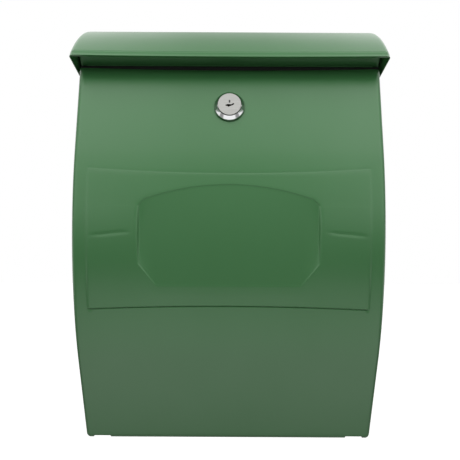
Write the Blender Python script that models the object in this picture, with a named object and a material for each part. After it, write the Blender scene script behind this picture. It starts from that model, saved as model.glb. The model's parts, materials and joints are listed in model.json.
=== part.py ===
"""Wall-mounted letter box: a moulded shell, a lifting rain lid and a drop-down front with a cam lock.

X runs to the right, +Y into the wall and +Z up. The wall is the plane Y = 0.
"""

import math

import bmesh
import bpy
from mathutils import Matrix, Vector

MM = 0.001

# Body, in side view: a straight top, a bow of two arcs, a straight bottom
BODY_WIDTH = 297.6 * MM
WALL = 2.5 * MM
BACK_WALL = 3.0 * MM
BOW_DEPTH = 117.5 * MM  # wall to the front of the bow, at Z = 0
UPPER_LEAN = math.radians(15.5)
UPPER_RADIUS = 300.0 * MM
LOWER_LEAN = math.radians(27.5)
LOWER_RADIUS = 280.0 * MM
BODY_BOTTOM = -217.2 * MM

# Door
DOOR_TOP = 161.9 * MM
DOOR_TOP_SAG = 2.5 * MM
DOOR_TOP_SAG_HEIGHT = 20.0 * MM
DOOR_RIM_DEPTH = 20.0 * MM  # how far its side flanges reach back
RIM_TAPER = 14.0 * MM  # above the hinge the flanges narrow to the width of the curl
EDGE_RADIUS = 4.0 * MM
INNER_EDGE_RADIUS = 1.5 * MM
CORNER_RADIUS = 6.0 * MM
BELT_RISE = 1.2 * MM
BELT_MARGIN = 12.8 * MM  # from its ends to the door's sides
BELT_TOP = 57.0 * MM
BELT_TOP_SAG = 5.0 * MM
BELT_TOP_RAMP = 9.0 * MM
BELT_BOTTOM = -71.7 * MM
BELT_BOTTOM_ARCH = 3.3 * MM
BELT_BOTTOM_RAMP = 1.5 * MM
BELT_SIDE_RAMP = 6.0 * MM
RECESS_DEPTH = 0.9 * MM
RECESS_HALF_WIDTH = 87.0 * MM
RECESS_TOP = 44.7 * MM
RECESS_SHOULDER = 31.0 * MM
RECESS_SIDE_BOTTOM = -31.0 * MM
RECESS_BOTTOM = -53.0 * MM
RECESS_CHAMFER = 18.0 * MM
RECESS_SLOPE = 1.2 * MM
RECESS_CORNER = 7.0 * MM  # cut off its upper corners

# Door hinge: the door's bottom edge curls round the hinge's axis
HINGE_HEIGHT = -210.0 * MM
CURL_RADIUS = 8.2 * MM
CURL_TURN = math.radians(67)
NOSE_STEP = 0.1 * MM  # keeps the flanges' round feet clear of the faces they join
NOSE_PHASE = 0.4  # of a facet, so that no corner of a foot falls on a flange's edge
KNUCKLE_RADIUS = 5.0 * MM
EAR_MARGIN = 7.8 * MM  # from the shell's ears to its outer sides
EAR_LENGTH = 17.0 * MM
KNUCKLE_LENGTH = 18.5 * MM
KNUCKLE_WEB = 8.0 * MM
EAR_WEB_TOP, EAR_WEB_BOTTOM = 3.5 * MM, -1.5 * MM
NOTCH_ANGLE = math.radians(222)
PIN_RADIUS = 2.0 * MM
PIN_HEAD_RADIUS = 3.4 * MM
PIN_HEAD_LENGTH = 1.8 * MM
FLOOR_LIP = 5.0 * MM  # above the hinge's axis
NOTCH_REACH = 4.0 * MM  # the ears' notches are cut this far out of the curl

# Lid: its lip hangs in front of the door's top edge, and it turns above the back's top edge
LID_SIDE_GAP = 2.2 * MM
LIP_FORWARD, LIP_RISE = 29.1 * MM, 4.9 * MM
HEM_DEPTH, HEM_HEIGHT = 6.0 * MM, 7.0 * MM
HEM_THICKNESS = 3.6 * MM
HEM_STEP = 0.5 * MM  # its lower edge rises this much inwards
BACK_RISE = 32.6 * MM  # from the door's top edge up to the back's
LID_AXIS_RISE = 11.5 * MM  # from the back's top edge up to the lid's axis
LID_AXIS_FORWARD = 11.0 * MM  # from the wall
LID_REAR_RADIUS = 10.0 * MM
LID_REAR_SLOPE = math.radians(10.7)
LID_REAR_END = math.radians(-8)
LID_SIDE_SLOPE = 0.176  # the end caps' lower edge falls towards the wall
LID_EDGE_RADIUS = 2.4 * MM
LID_BOSS_RADIUS = 5.5 * MM
LID_EAR_RADIUS = 6.5 * MM
LID_EAR_LENGTH = 6.8 * MM
LID_PIN_DEPTH = 1.3 * MM  # into the end cap
ROOF_STOP = 6.0 * MM  # the side walls' round top ends this far in front of the lid's axis

# Slot rail: points are forward of the door's top edge, and above it
NOSE = (6.1 * MM, 10.6 * MM)
HEEL = (-3.9 * MM, 3.1 * MM)
RAIL_SHOULDER = (4.1 * MM, 17.1 * MM)
RAIL_REAR = (-13.9 * MM, 25.1 * MM)
RAIL_END_DROP = 4.0 * MM  # from the roof's inset to the top of the end plates' rear edge
KEEPER_DROP = 11.9 * MM
KEEPER_MARGIN = 6.4 * MM
LUG_MARGIN = 21.8 * MM
LUG_SET_BACK = 17.9 * MM  # from the door's top edge to the lugs' rear faces
LUG_THICKNESS = 3.0 * MM
LUG_DROP = 4.0 * MM  # from the tongues' top to the lugs'
SCREW_MARGIN = 14.8 * MM
SCREW_RISES = {"lower": -4.9 * MM, "upper": 9.1 * MM}  # above the door's top edge
SCREW_RADIUS = 1.6 * MM
SCREW_HEAD_RADIUS = 3.2 * MM
SCREW_HEAD_LENGTH = 2.0 * MM
SCREW_LENGTH = 9.0 * MM
SCREW_CLEARANCE = 0.5 * MM  # in the lugs
DRIVE_WIDTH = 0.9 * MM
BOSS_RADIUS = 4.0 * MM

# Weather tongue behind the door's flanges
TONGUE_THICKNESS = 2.5 * MM
TONGUE_DEPTH = 12.0 * MM
TONGUE_LAP = 6.0 * MM  # behind the parting line
TONGUE_RISE = 14.1 * MM  # above the door's top edge
TONGUE_START = 15.0 * MM

# Wall holes
HOLE_X = 95.0 * MM
KEYHOLE_DROP = 46.5 * MM  # below the back's top edge
KEYHOLE_RADIUS = 5.5 * MM
SLOT_RADIUS = 2.8 * MM
SLOT_RISE = 10.0 * MM
LOWER_HOLE_HEIGHT = -165.0 * MM
LOWER_HOLE_RADIUS = 3.0 * MM

# Cam lock, measured along its axis from the door's outer face
LOCK_DROP = 41.4 * MM  # below the door's top edge
LOCK_BODY_RADIUS = 8.6 * MM
LOCK_FLAT = 7.5 * MM  # half the width across the body's flats
LOCK_DEPTH = 16.0 * MM
LOCK_HEAD_RADIUS = 11.5 * MM
LOCK_HEAD_BACK = 2.6 * MM
LOCK_HEAD_FRONT = 5.0 * MM
FACE_FRONT = 7.7 * MM
TRIM_RADIUS = 14.5 * MM
TRIM_TOP_RADIUS = 12.6 * MM
TRIM_HEIGHT = 7.2 * MM
TRIM_WEB = 1.0 * MM
GASKET_THICKNESS = 0.7 * MM
PLUG_RADIUS = 6.0 * MM
TAIL_WIDTH = 7.0 * MM
KEYWAY_LENGTH, KEYWAY_WIDTH, KEYWAY_DEPTH = 8.8 * MM, 2.2 * MM, 20.0 * MM
WAFER_COUNT = 5
WAFER_PITCH = 2.2 * MM
WAFER_THICKNESS = 0.8 * MM
WAFER_WIDTH = 7.0 * MM
WAFER_FIRST = -2.5 * MM
CAM_THICKNESS = 2.0 * MM
CAM_WIDTH = 14.0 * MM
CAM_BACK = 9.0 * MM  # from the lock's axis to its short end
CAM_REACH = 41.0 * MM
CAM_CRANK = 6.0 * MM
CAM_CRANK_START, CAM_CRANK_END = 13.0 * MM, 20.0 * MM
NUT_ACROSS_FLATS = 22.0 * MM
NUT_THICKNESS = 3.5 * MM
WASHER_RADIUS = 12.0 * MM
WASHER_THICKNESS = 0.7 * MM
CAM_WASHER_RADIUS = 5.5 * MM
CAM_WASHER_THICKNESS = 0.8 * MM
CAM_SCREW_RADIUS = 1.9 * MM
CAM_SCREW_HEAD_RADIUS = 4.4 * MM
CAM_SCREW_HEAD_LENGTH = 2.2 * MM
CAM_SCREW_LENGTH = 5.5 * MM
CAM_BORE_DEPTH = 7.0 * MM

# Clearances
GAP = 0.3 * MM  # between pieces that touch
PART_GAP = 0.4 * MM  # along the door's parting line
SIDE_GAP = 0.8 * MM  # between the tongue and the door's flange
SWING_GAP = 0.6 * MM  # round what turns past
TOP_GAP = 1.0 * MM  # over the door's flanges

BEND_STEP = math.radians(3.6)
PANEL_COLUMN = 25.0 * MM
ROUND_STEPS = 24
OVERLAP = 0.6 * MM  # how far joined shapes run into each other
MERGE = 0.002 * MM

HALF = BODY_WIDTH / 2
LID_HALF = HALF + LID_SIDE_GAP + WALL
EAR_OUTER_X = HALF - EAR_MARGIN
EAR_INNER_X = EAR_OUTER_X - EAR_LENGTH
BELT_HALF = HALF - BELT_MARGIN
SCREW_X = HALF - SCREW_MARGIN
BACK_TOP = DOOR_TOP + BACK_RISE
TONGUE_TOP = DOOR_TOP + TONGUE_RISE
TONGUE_BACK = DOOR_RIM_DEPTH + TONGUE_LAP
GREEN = ("green_polymer", (0.10, 0.26, 0.12), 0.35, 0.0)
CHROME = ("chrome", (0.80, 0.80, 0.80), 0.12, 1.0)
STEEL = ("zinc_steel", (0.62, 0.62, 0.60), 0.35, 1.0)
BRASS = ("brass", (0.72, 0.55, 0.25), 0.30, 1.0)
RUBBER = ("black_rubber", (0.02, 0.02, 0.02), 0.80, 0.0)


# ---- The bow: stations run up the front face, depth runs in from it ----


def upper_end():
    return UPPER_RADIUS * UPPER_LEAN


def lower_end():
    return -LOWER_RADIUS * LOWER_LEAN


def bow_frame(station):
    """A point of the front face in side view, its direction up the face and its direction inwards."""
    radius = UPPER_RADIUS if station > 0 else LOWER_RADIUS
    angle = min(max(station / radius, -LOWER_LEAN), UPPER_LEAN)
    up = Vector((0, math.sin(angle), math.cos(angle)))
    inward = Vector((0, math.cos(angle), -math.sin(angle)))
    centre = Vector((0, radius - BOW_DEPTH, 0))
    return centre - inward * radius + up * (station - radius * angle), up, inward


def bow_point(station, depth=0.0):
    point, _, inward = bow_frame(station)
    return point + inward * depth


def solve(function, low, high):
    """Where a rising function passes zero."""
    for _ in range(60):
        middle = (low + high) / 2
        if function(middle) < 0:
            low = middle
        else:
            high = middle
    return (low + high) / 2


def station_at(height):
    return solve(lambda s: bow_point(s).z - height, -0.5, 0.5)


def stations(low, high):
    """Stations from low to high, close enough together to follow the bow."""
    bends = [UPPER_RADIUS * BEND_STEP * k for k in range(int(UPPER_LEAN / BEND_STEP) + 1)]
    bends += [-LOWER_RADIUS * BEND_STEP * k for k in range(1, int(LOWER_LEAN / BEND_STEP) + 1)]
    bends += [upper_end(), lower_end()]
    inside = sorted(s for s in bends if low + MM < s < high - MM)
    return [low, *inside, high]


# The door hinge's axis: its curl touches the front face from inside
HINGE_STATION = solve(lambda s: bow_point(s, CURL_RADIUS).z - HINGE_HEIGHT, -0.5, 0.0)
HINGE_AXIS = bow_point(HINGE_STATION, CURL_RADIUS)
LID_AXIS = Vector((0, -LID_AXIS_FORWARD, BACK_TOP + LID_AXIS_RISE))
DOOR_TOP_STATION = station_at(DOOR_TOP)
DOOR_TOP_Y = bow_point(DOOR_TOP_STATION).y
LIP_Y, LIP_Z = DOOR_TOP_Y - LIP_FORWARD, DOOR_TOP + LIP_RISE
HEM_Y, HEM_Z = LIP_Y + HEM_DEPTH, LIP_Z + HEM_HEIGHT
LUG_BACK_Y = DOOR_TOP_Y + LUG_SET_BACK
LOCK_STATION = station_at(DOOR_TOP - LOCK_DROP)
CURL_END = HINGE_STATION - CURL_RADIUS * CURL_TURN


def panel_point(station, depth):
    """As bow_point, but below the hinge the face curls round the hinge's axis."""
    if station >= HINGE_STATION:
        return bow_point(station, depth)
    turn = (HINGE_STATION - station) / CURL_RADIUS
    _, up, inward = bow_frame(HINGE_STATION)
    outward = -inward * math.cos(turn) - up * math.sin(turn)
    return HINGE_AXIS + outward * (CURL_RADIUS - depth)


def lower_point(rise, depth):
    """A point near the hinge, along the straight lower face and in from it."""
    point, up, inward = bow_frame(HINGE_STATION)
    return point + up * rise + inward * depth


# ---- Meshes ----


def new_object(name, mesh_data):
    mesh = bpy.data.meshes.new(name)
    bmesh.ops.recalc_face_normals(mesh_data, faces=mesh_data.faces)
    mesh_data.to_mesh(mesh)
    mesh_data.free()
    obj = bpy.data.objects.new(name, mesh)
    bpy.context.scene.collection.objects.link(obj)
    return obj


def extruded(name, outline, run):
    """A closed solid: a flat outline of 3-D points, run along a vector."""
    bm = bmesh.new()
    face = bm.faces.new([bm.verts.new(p) for p in outline])
    out = bmesh.ops.extrude_face_region(bm, geom=[face])
    moved = [v for v in out["geom"] if isinstance(v, bmesh.types.BMVert)]
    bmesh.ops.translate(bm, verts=moved, vec=run)
    return new_object(name, bm)


def prism(name, outline, x_low, x_high):
    """An outline in side view, run along X."""
    return extruded(name, [(x_low, p[-2], p[-1]) for p in outline], (x_high - x_low, 0, 0))


def block(name, low, high):
    outline = [(low[0], low[1]), (high[0], low[1]), (high[0], high[1]), (low[0], high[1])]
    return extruded(name, [(x, y, low[2]) for x, y in outline], (0, 0, high[2] - low[2]))


def circle(radius, steps=ROUND_STEPS, start=0.0, end=2 * math.pi):
    """Points round a circle; a part circle has both its end points."""
    count = steps if end - start > 2 * math.pi - 1e-6 else steps + 1
    angles = [start + (end - start) * k / steps for k in range(count)]
    return [(radius * math.cos(a), radius * math.sin(a)) for a in angles]


def rod_x(name, axis, radius, x_low, x_high):
    return prism(name, [(axis.y + y, axis.z + z) for y, z in circle(radius)], x_low, x_high)


def rod_y(name, x, z, radius, y_low, y_high):
    return extruded(name, [(x + u, y_low, z + w) for u, w in circle(radius)], (0, y_high - y_low, 0))


def turned(name, profile, steps=ROUND_STEPS):
    """A profile of (radius, height) points, turned about Z. It may touch the axis at its ends."""
    bm = bmesh.new()
    rings = []
    for radius, height in profile:
        if radius < 1e-6:
            rings.append([bm.verts.new((0, 0, height))])
        else:
            rings.append([bm.verts.new((u, v, height)) for u, v in circle(radius, steps)])
    closed = all(radius > 1e-6 for radius, _ in profile)
    pairs = list(zip(rings, rings[1:])) + ([(rings[-1], rings[0])] if closed else [])
    for low, high in pairs:
        for k in range(steps):
            corners = [low[k % len(low)], low[(k + 1) % len(low)]]
            corners += [high[(k + 1) % len(high)], high[k % len(high)]]
            corners = list(dict.fromkeys(corners))
            if len(corners) > 2:
                bm.faces.new(corners)
    return new_object(name, bm)


def cross(reach, low, height):
    """A cutter for a cross recess."""
    arm = DRIVE_WIDTH / 2
    quarter = [(reach, -arm), (reach, arm), (arm, arm)]
    turns = ((1, 0), (0, 1), (-1, 0), (0, -1))
    outline = [(u * c - v * s, u * s + v * c) for c, s in turns for u, v in quarter]
    return extruded("cross", [(u, v, low) for u, v in outline], (0, 0, height))


def cleaned(mesh):
    """Merges what a Boolean leaves closer together than can be made."""
    bm = bmesh.new()
    bm.from_mesh(mesh)
    bmesh.ops.remove_doubles(bm, verts=bm.verts, dist=MERGE)
    bmesh.ops.dissolve_degenerate(bm, edges=bm.edges, dist=MERGE)
    bm.to_mesh(mesh)
    bm.free()


def combined(base, adds=(), cuts=()):
    """The base with shapes joined on and then cut away."""
    for kind, tools in (("UNION", adds), ("DIFFERENCE", cuts)):
        for tool in tools:
            step = base.modifiers.new(kind, "BOOLEAN")
            step.operation, step.solver, step.object = kind, "EXACT", tool
            bpy.context.view_layer.update()
            depsgraph = bpy.context.evaluated_depsgraph_get()
            mesh = bpy.data.meshes.new_from_object(base.evaluated_get(depsgraph))
            base.modifiers.clear()
            base.data = mesh
            bpy.data.objects.remove(tool)
            cleaned(mesh)
    return base


def bevelled(obj, chosen, radius, segments):
    """Rounds the edges whose two end points pass the test."""
    bm = bmesh.new()
    bm.from_mesh(obj.data)
    edges = [e for e in bm.edges if chosen(e.verts[0].co, e.verts[1].co)]
    bmesh.ops.bevel(bm, geom=edges, offset=radius, segments=segments, profile=0.5, affect="EDGES")
    bm.to_mesh(obj.data)
    bm.free()
    return obj


# ---- Shell ----


def roof_arc():
    """Centre and radius of the roof's arc, from the hem to the lid's round rear end."""
    rear = Vector((0, -math.sin(LID_REAR_SLOPE), math.cos(LID_REAR_SLOPE)))
    end = LID_AXIS + rear * LID_REAR_RADIUS
    hem = Vector((0, HEM_Y, HEM_Z))
    chord = end - hem
    radius = chord.length_squared / (2 * chord.dot(rear))
    return end - rear * radius, radius


def roof_points(inset, y_front, y_rear, steps=8):
    """Points under the roof, from front to rear, this far in from its outer face."""
    centre, radius = roof_arc()
    inner = radius - inset
    ends = [math.acos((y - centre.y) / inner) for y in (y_front, y_rear)]
    angles = [ends[0] + (ends[1] - ends[0]) * k / steps for k in range(steps + 1)]
    return [(centre.y + inner * math.cos(a), centre.z + inner * math.sin(a)) for a in angles]


def parting_top(depth, inset):
    """The station where a line this deep behind the front meets the roof's inset."""
    centre, radius = roof_arc()
    return solve(
        lambda s: (bow_point(s, depth) - centre).length - (radius - inset), upper_end(), upper_end() + 0.2
    )


def around(axis, radius, start, end, steps=6):
    """Points of an arc round an axis, in side view, both ends included."""
    angles = [math.radians(start + (end - start) * k / steps) for k in range(steps + 1)]
    return [(axis.y + radius * math.cos(a), axis.z + radius * math.sin(a)) for a in angles]


def shell_outline():
    """The side walls in side view."""
    inset = WALL + GAP
    depth = DOOR_RIM_DEPTH + PART_GAP
    lean = math.degrees(LOWER_LEAN)
    clear = CURL_RADIUS + SWING_GAP
    top_station = parting_top(depth, inset)
    front = [bow_point(s, depth) for s in stations(HINGE_STATION + RIM_TAPER, top_station)]
    ear_top = around(LID_AXIS, LID_EAR_RADIUS, -90, 90, 10)
    roof = roof_points(inset, front[-1].y, LID_AXIS.y - ROOF_STOP)
    floor_angle = -math.degrees(math.asin((HINGE_AXIS.z - BODY_BOTTOM) / clear))
    return [
        (0, BODY_BOTTOM),
        (0, BACK_TOP),
        (LID_AXIS.y, BACK_TOP),
        *ear_top,
        *reversed(roof[1:]),
        *[(p.y, p.z) for p in reversed(front)],
        *around(HINGE_AXIS, clear, lean, floor_angle, 8),
    ]


def shell_hollow():
    """What is cut out between the side walls: it leaves the back, the floor and the floor's lip."""
    lip_back = HINGE_AXIS.y + CURL_RADIUS + SWING_GAP + WALL
    floor_top = BODY_BOTTOM + WALL
    lip_top = HINGE_AXIS.z + FLOOR_LIP
    far_front, far_up = -2 * BOW_DEPTH, 2 * BACK_TOP
    return [
        (-BACK_WALL, far_up),
        (-BACK_WALL, floor_top),
        (lip_back, floor_top),
        (lip_back, lip_top),
        (far_front, lip_top),
        (far_front, far_up),
    ]


def tongue_outline(front_depth, back_depth, top):
    low, high = HINGE_STATION + TONGUE_START, station_at(top)
    steps = stations(low, high)
    front = [bow_point(s, front_depth) for s in steps]
    back = [bow_point(s, back_depth) for s in reversed(steps)]
    return [(p.y, p.z) for p in front + back]


def ear_outline():
    """A barrel round the door hinge's axis, on a web out of the floor's lip."""
    back = HINGE_AXIS.y + CURL_RADIUS + SWING_GAP + WALL - OVERLAP
    angles = [math.degrees(math.asin(rise / KNUCKLE_RADIUS)) for rise in (EAR_WEB_TOP, EAR_WEB_BOTTOM)]
    barrel = around(HINGE_AXIS, KNUCKLE_RADIUS, angles[0], 360 + angles[1], 18)
    return [*barrel, (back, barrel[-1][1]), (back, barrel[0][1])]


def shell_side(side):
    """What one side wall carries: tongue, rail lug, lid boss and door ear."""
    outer = side * (HALF - WALL - SIDE_GAP)
    inner = outer - side * TONGUE_THICKNESS
    wall = side * (HALF - WALL + OVERLAP)
    lug_front = LUG_BACK_Y - LUG_THICKNESS
    lug_low, lug_high = DOOR_TOP - KEEPER_DROP + MM, TONGUE_TOP - LUG_DROP
    foot = tongue_outline(DOOR_RIM_DEPTH + MM, TONGUE_BACK - MM, TONGUE_TOP - MM)
    boss = sorted((side * (HALF - LID_EAR_LENGTH), side * (HALF - MM)))
    shapes = [
        prism("tongue", tongue_outline(TONGUE_DEPTH, TONGUE_BACK, TONGUE_TOP), *sorted((inner, outer))),
        prism("tongue_foot", foot, *sorted((inner, wall))),
        rod_x("lid_boss", LID_AXIS, LID_EAR_RADIUS, *boss),
        prism("door_ear", ear_outline(), *sorted((side * EAR_INNER_X, side * EAR_OUTER_X))),
    ]
    lug_x = sorted((side * (HALF - LUG_MARGIN), outer - side * MM))
    shapes.append(block("lug", (lug_x[0], lug_front, lug_low), (lug_x[1], LUG_BACK_Y, lug_high)))
    return shapes


def keyhole(x):
    """A cutter through the back: a round entry with a slot above it."""
    z = BACK_TOP - KEYHOLE_DROP
    angle = math.acos(SLOT_RADIUS / KEYHOLE_RADIUS)
    entry = circle(KEYHOLE_RADIUS, ROUND_STEPS, math.pi - angle, 2 * math.pi + angle)
    end = [(u, SLOT_RISE + w) for u, w in circle(SLOT_RADIUS, 10, 0, math.pi)]
    outline = [(x + u, -2 * BACK_WALL, z + w) for u, w in entry + end]
    return extruded("keyhole", outline, (0, 3 * BACK_WALL, 0))


def screw_heights():
    return {level: DOOR_TOP + rise for level, rise in SCREW_RISES.items()}


def housing_shell():
    shell = prism("housing_shell", shell_outline(), -HALF, HALF)
    inner = HALF - WALL
    shell = combined(shell, cuts=[prism("hollow", shell_hollow(), -inner, inner)])
    cuts = []
    for side in (-1, 1):
        shell = combined(shell, adds=shell_side(side))
        bore = sorted((side * (inner - 2 * LID_EAR_LENGTH), side * (HALF + MM)))
        cuts.append(rod_x("lid_bore", LID_AXIS, PIN_RADIUS + GAP, *bore))
        ear = sorted((side * (EAR_INNER_X - MM), side * (EAR_OUTER_X + MM)))
        cuts.append(rod_x("door_bore", HINGE_AXIS, PIN_RADIUS + GAP, *ear))
        for height in screw_heights().values():
            lug = (LUG_BACK_Y - LUG_THICKNESS - MM, LUG_BACK_Y + MM)
            cuts.append(rod_y("lug_hole", side * SCREW_X, height, SCREW_RADIUS + SCREW_CLEARANCE, *lug))
        cuts.append(keyhole(side * HOLE_X))
        through = (-2 * BACK_WALL, BACK_WALL)
        cuts.append(rod_y("wall_hole", side * HOLE_X, LOWER_HOLE_HEIGHT, LOWER_HOLE_RADIUS, *through))
    return combined(shell, cuts=cuts)


# ---- Slot rail ----


def rail_point(offset, inward=0.0, down=0.0):
    """A point of the rail in side view, from its offset to the door's top edge."""
    return DOOR_TOP_Y - offset[0] + inward, DOOR_TOP + offset[1] - down


def rail_end_outline():
    """The rail's end plates: nose and heel in front, the parting line behind."""
    depth = DOOR_RIM_DEPTH
    low = bow_point(DOOR_TOP_STATION + TOP_GAP, depth)
    high = bow_point(parting_top(depth, WALL + GAP) - RAIL_END_DROP, depth)
    front = [rail_point(offset) for offset in (HEEL, NOSE, RAIL_SHOULDER, RAIL_REAR)]
    return [*front, (high.y, high.z), (low.y, low.z)]


def rail_hollow():
    """What is cut out between the end plates, behind the face and under the top."""
    heel = rail_point(HEEL, WALL, -0.45 * WALL)
    rear = rail_point(RAIL_REAR, 0, 1.1 * WALL)
    low, high, back = heel[1] - BACK_RISE, rear[1] + BACK_RISE, rear[0] + BACK_RISE
    return [
        (heel[0], low),
        heel,
        rail_point(NOSE, 1.35 * WALL, -0.1 * WALL),
        rail_point(RAIL_SHOULDER, 0.95 * WALL, 0.6 * WALL),
        rear,
        (rear[0], high),
        (back, high),
        (back, low),
    ]


def slot_rail():
    heel, nose_point = rail_point(HEEL), rail_point(NOSE)

    def front_edge(a, b):
        level = abs(a.x - b.x) < 1e-6
        return level and max(a.y, b.y) < heel[0] + MM and min(a.y, b.y) < nose_point[0] + MM

    rail = prism("slot_rail", rail_end_outline(), -HALF, HALF)
    bevelled(rail, front_edge, EDGE_RADIUS - WALL / 2, 3)
    inner = HALF - WALL
    rail = combined(rail, cuts=[prism("hollow", rail_hollow(), -inner, inner)])
    low, high = DOOR_TOP - KEEPER_DROP, heel[1] + OVERLAP
    keeper = [(heel[0], high), (heel[0], low), (heel[0] + WALL, low), (heel[0] + WALL, high)]
    keeper_x = HALF - KEEPER_MARGIN
    adds = [prism("keeper", keeper, -keeper_x, keeper_x)]
    cuts = []
    boss_back = LUG_BACK_Y - LUG_THICKNESS - GAP
    for side in (-1, 1):
        for height in screw_heights().values():
            front = heel[0] + (WALL / 2 if height < heel[1] else -2 * MM)
            adds.append(rod_y("boss", side * SCREW_X, height, BOSS_RADIUS, front, boss_back))
            bore = (boss_back - SCREW_LENGTH + MM, boss_back + MM)
            cuts.append(rod_y("boss_bore", side * SCREW_X, height, SCREW_RADIUS + GAP, *bore))
    return combined(rail, adds=adds, cuts=cuts)


def rail_screw(name, x, z):
    """A pan-head screw pointing to the front."""
    head_front = LUG_BACK_Y + GAP
    tip = head_front - SCREW_LENGTH
    profile = [
        (0, 0),
        (SCREW_RADIUS * 0.5, 0),
        (SCREW_RADIUS, SCREW_RADIUS),
        (SCREW_RADIUS, SCREW_LENGTH),
        (SCREW_HEAD_RADIUS, SCREW_LENGTH),
        (SCREW_HEAD_RADIUS, SCREW_LENGTH + 0.6 * SCREW_HEAD_LENGTH),
        (SCREW_HEAD_RADIUS * 0.7, SCREW_LENGTH + SCREW_HEAD_LENGTH),
        (0, SCREW_LENGTH + SCREW_HEAD_LENGTH),
    ]
    screw = turned(name, profile, 16)
    drive = cross(0.6 * SCREW_HEAD_RADIUS, SCREW_LENGTH + 0.5 * SCREW_HEAD_LENGTH, SCREW_HEAD_LENGTH)
    screw = combined(screw, cuts=[drive])
    screw.matrix_world = Matrix.Translation((x, tip, z)) @ Matrix.Rotation(-math.pi / 2, 4, "X")
    return screw


# ---- Lid ----


def lid_side_height(y):
    """The end caps' lower edge."""
    return LIP_Z - (y - LIP_Y) * LID_SIDE_SLOPE


def lid_outline():
    """The end caps in side view."""
    end = LID_AXIS.y - LID_REAR_RADIUS * math.sin(LID_REAR_SLOPE)
    rear = LID_AXIS.y + LID_REAR_RADIUS
    return [
        (LIP_Y, LIP_Z),
        *roof_points(0, HEM_Y, end, 12),
        *around(LID_AXIS, LID_REAR_RADIUS, 90, 0, 6),
        (rear, lid_side_height(rear)),
    ]


def lid_hollow():
    """What is cut out between the end caps: it leaves the roof, its hem and its round rear end."""
    end = LID_AXIS.y - LID_REAR_RADIUS * math.sin(LID_REAR_SLOPE)
    inner = LID_REAR_RADIUS - WALL
    stop = math.degrees(LID_REAR_END)
    low, far_back = LIP_Z - BACK_RISE, -LIP_Y
    rear_end = around(LID_AXIS, inner, 90, stop, 5)
    return [
        (LIP_Y + HEM_THICKNESS, low),
        (LIP_Y + HEM_THICKNESS, LIP_Z + HEM_STEP),
        *roof_points(WALL, HEM_Y + 1.2 * HEM_THICKNESS, end, 12),
        *rear_end,
        (far_back, rear_end[-1][1]),
        (far_back, low),
    ]


def lid_hood():
    lid = prism("lid_hood", lid_outline(), -LID_HALF, LID_HALF)
    floor = lid_side_height(0)

    def rim(a, b):
        return abs(a.x - b.x) < 1e-6 and max(a.z, b.z) > LIP_Z + MM and min(a.z, b.z) > floor + MM

    bevelled(lid, rim, LID_EDGE_RADIUS, 3)
    inner = LID_HALF - WALL
    lid = combined(lid, cuts=[prism("hollow", lid_hollow(), -inner, inner)])
    adds, cuts = [], []
    for side in (-1, 1):
        boss = sorted((side * (HALF + GAP), side * (inner + OVERLAP)))
        adds.append(rod_x("boss", LID_AXIS, LID_BOSS_RADIUS, *boss))
        bore = sorted((side * HALF, side * (inner + LID_PIN_DEPTH)))
        cuts.append(rod_x("bore", LID_AXIS, PIN_RADIUS + GAP, *bore))
    return combined(lid, adds=adds, cuts=cuts)


def headed_pin(name, axis, x_head, x_tip):
    """A pin along X with a flat head at its inner end."""
    way = 1 if x_tip > x_head else -1
    pin = rod_x(name, axis, PIN_RADIUS, *sorted((x_head, x_tip)))
    head = rod_x("head", axis, PIN_HEAD_RADIUS, *sorted((x_head, x_head + way * PIN_HEAD_LENGTH)))
    return combined(pin, adds=[head])


# ---- Door ----


def belt_grid():
    """The raised band, in flat panel coordinates: X, depth, station."""
    bm = bmesh.new()
    inner = BELT_HALF - BELT_SIDE_RAMP
    steps = 8
    xs = [-BELT_HALF, *[inner * (2 * k / steps - 1) for k in range(steps + 1)], BELT_HALF]
    columns = []
    hidden, deep = 0.05 * MM, 1.0 * MM
    for x in xs:
        share = (x / BELT_HALF) ** 2
        top = station_at(BELT_TOP + BELT_TOP_SAG * share)
        bottom = station_at(BELT_BOTTOM - BELT_BOTTOM_ARCH * share)
        rise = hidden if abs(x) > inner + MM else -BELT_RISE
        rows = [
            (deep, bottom),
            (hidden, bottom),
            (rise, bottom + BELT_BOTTOM_RAMP),
            (rise, top - BELT_TOP_RAMP),
            (hidden, top),
            (deep, top),
        ]
        columns.append([bm.verts.new((x, depth, station)) for depth, station in rows])
    for left, right in zip(columns, columns[1:]):
        for k in range(len(left)):
            after = (k + 1) % len(left)
            bm.faces.new((left[k], left[after], right[after], right[k]))
    bm.faces.new(columns[0])
    bm.faces.new(columns[-1])
    bmesh.ops.triangulate(bm, faces=bm.faces)
    return new_object("belt", bm)


def recess_outline(grow):
    """The label recess, seen from the front, in X and station."""
    half = RECESS_HALF_WIDTH + grow
    shoulder = half - RECESS_CORNER
    rise = RECESS_TOP - RECESS_SHOULDER
    steps = 10
    top = []
    for k in range(steps + 1):
        x = shoulder * (1 - 2 * k / steps)
        top.append((x, station_at(RECESS_SHOULDER + rise * (1 - (x / shoulder) ** 2)) + grow))
    side_low = station_at(RECESS_SIDE_BOTTOM)
    bottom = station_at(RECESS_BOTTOM) - grow
    corner = station_at(RECESS_SHOULDER) - RECESS_CORNER
    return [
        (half, corner),
        *top,
        (-half, corner),
        (-half, side_low),
        (-half + RECESS_CHAMFER, bottom),
        (half - RECESS_CHAMFER, bottom),
        (half, side_low),
    ]


def recess_cutter():
    """A tapered block over the recess, in flat panel coordinates."""
    floor = -BELT_RISE + RECESS_DEPTH
    taller = 1.0 * MM
    bm = bmesh.new()
    low = [bm.verts.new((x, floor, s)) for x, s in recess_outline(-RECESS_SLOPE)]
    spread = RECESS_SLOPE * taller / RECESS_DEPTH
    high = [bm.verts.new((x, -BELT_RISE - taller, s)) for x, s in recess_outline(spread)]
    bm.faces.new(low)
    bm.faces.new(high)
    for k in range(len(low)):
        after = (k + 1) % len(low)
        bm.faces.new((low[k], low[after], high[after], high[k]))
    return new_object("recess", bm)


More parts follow.
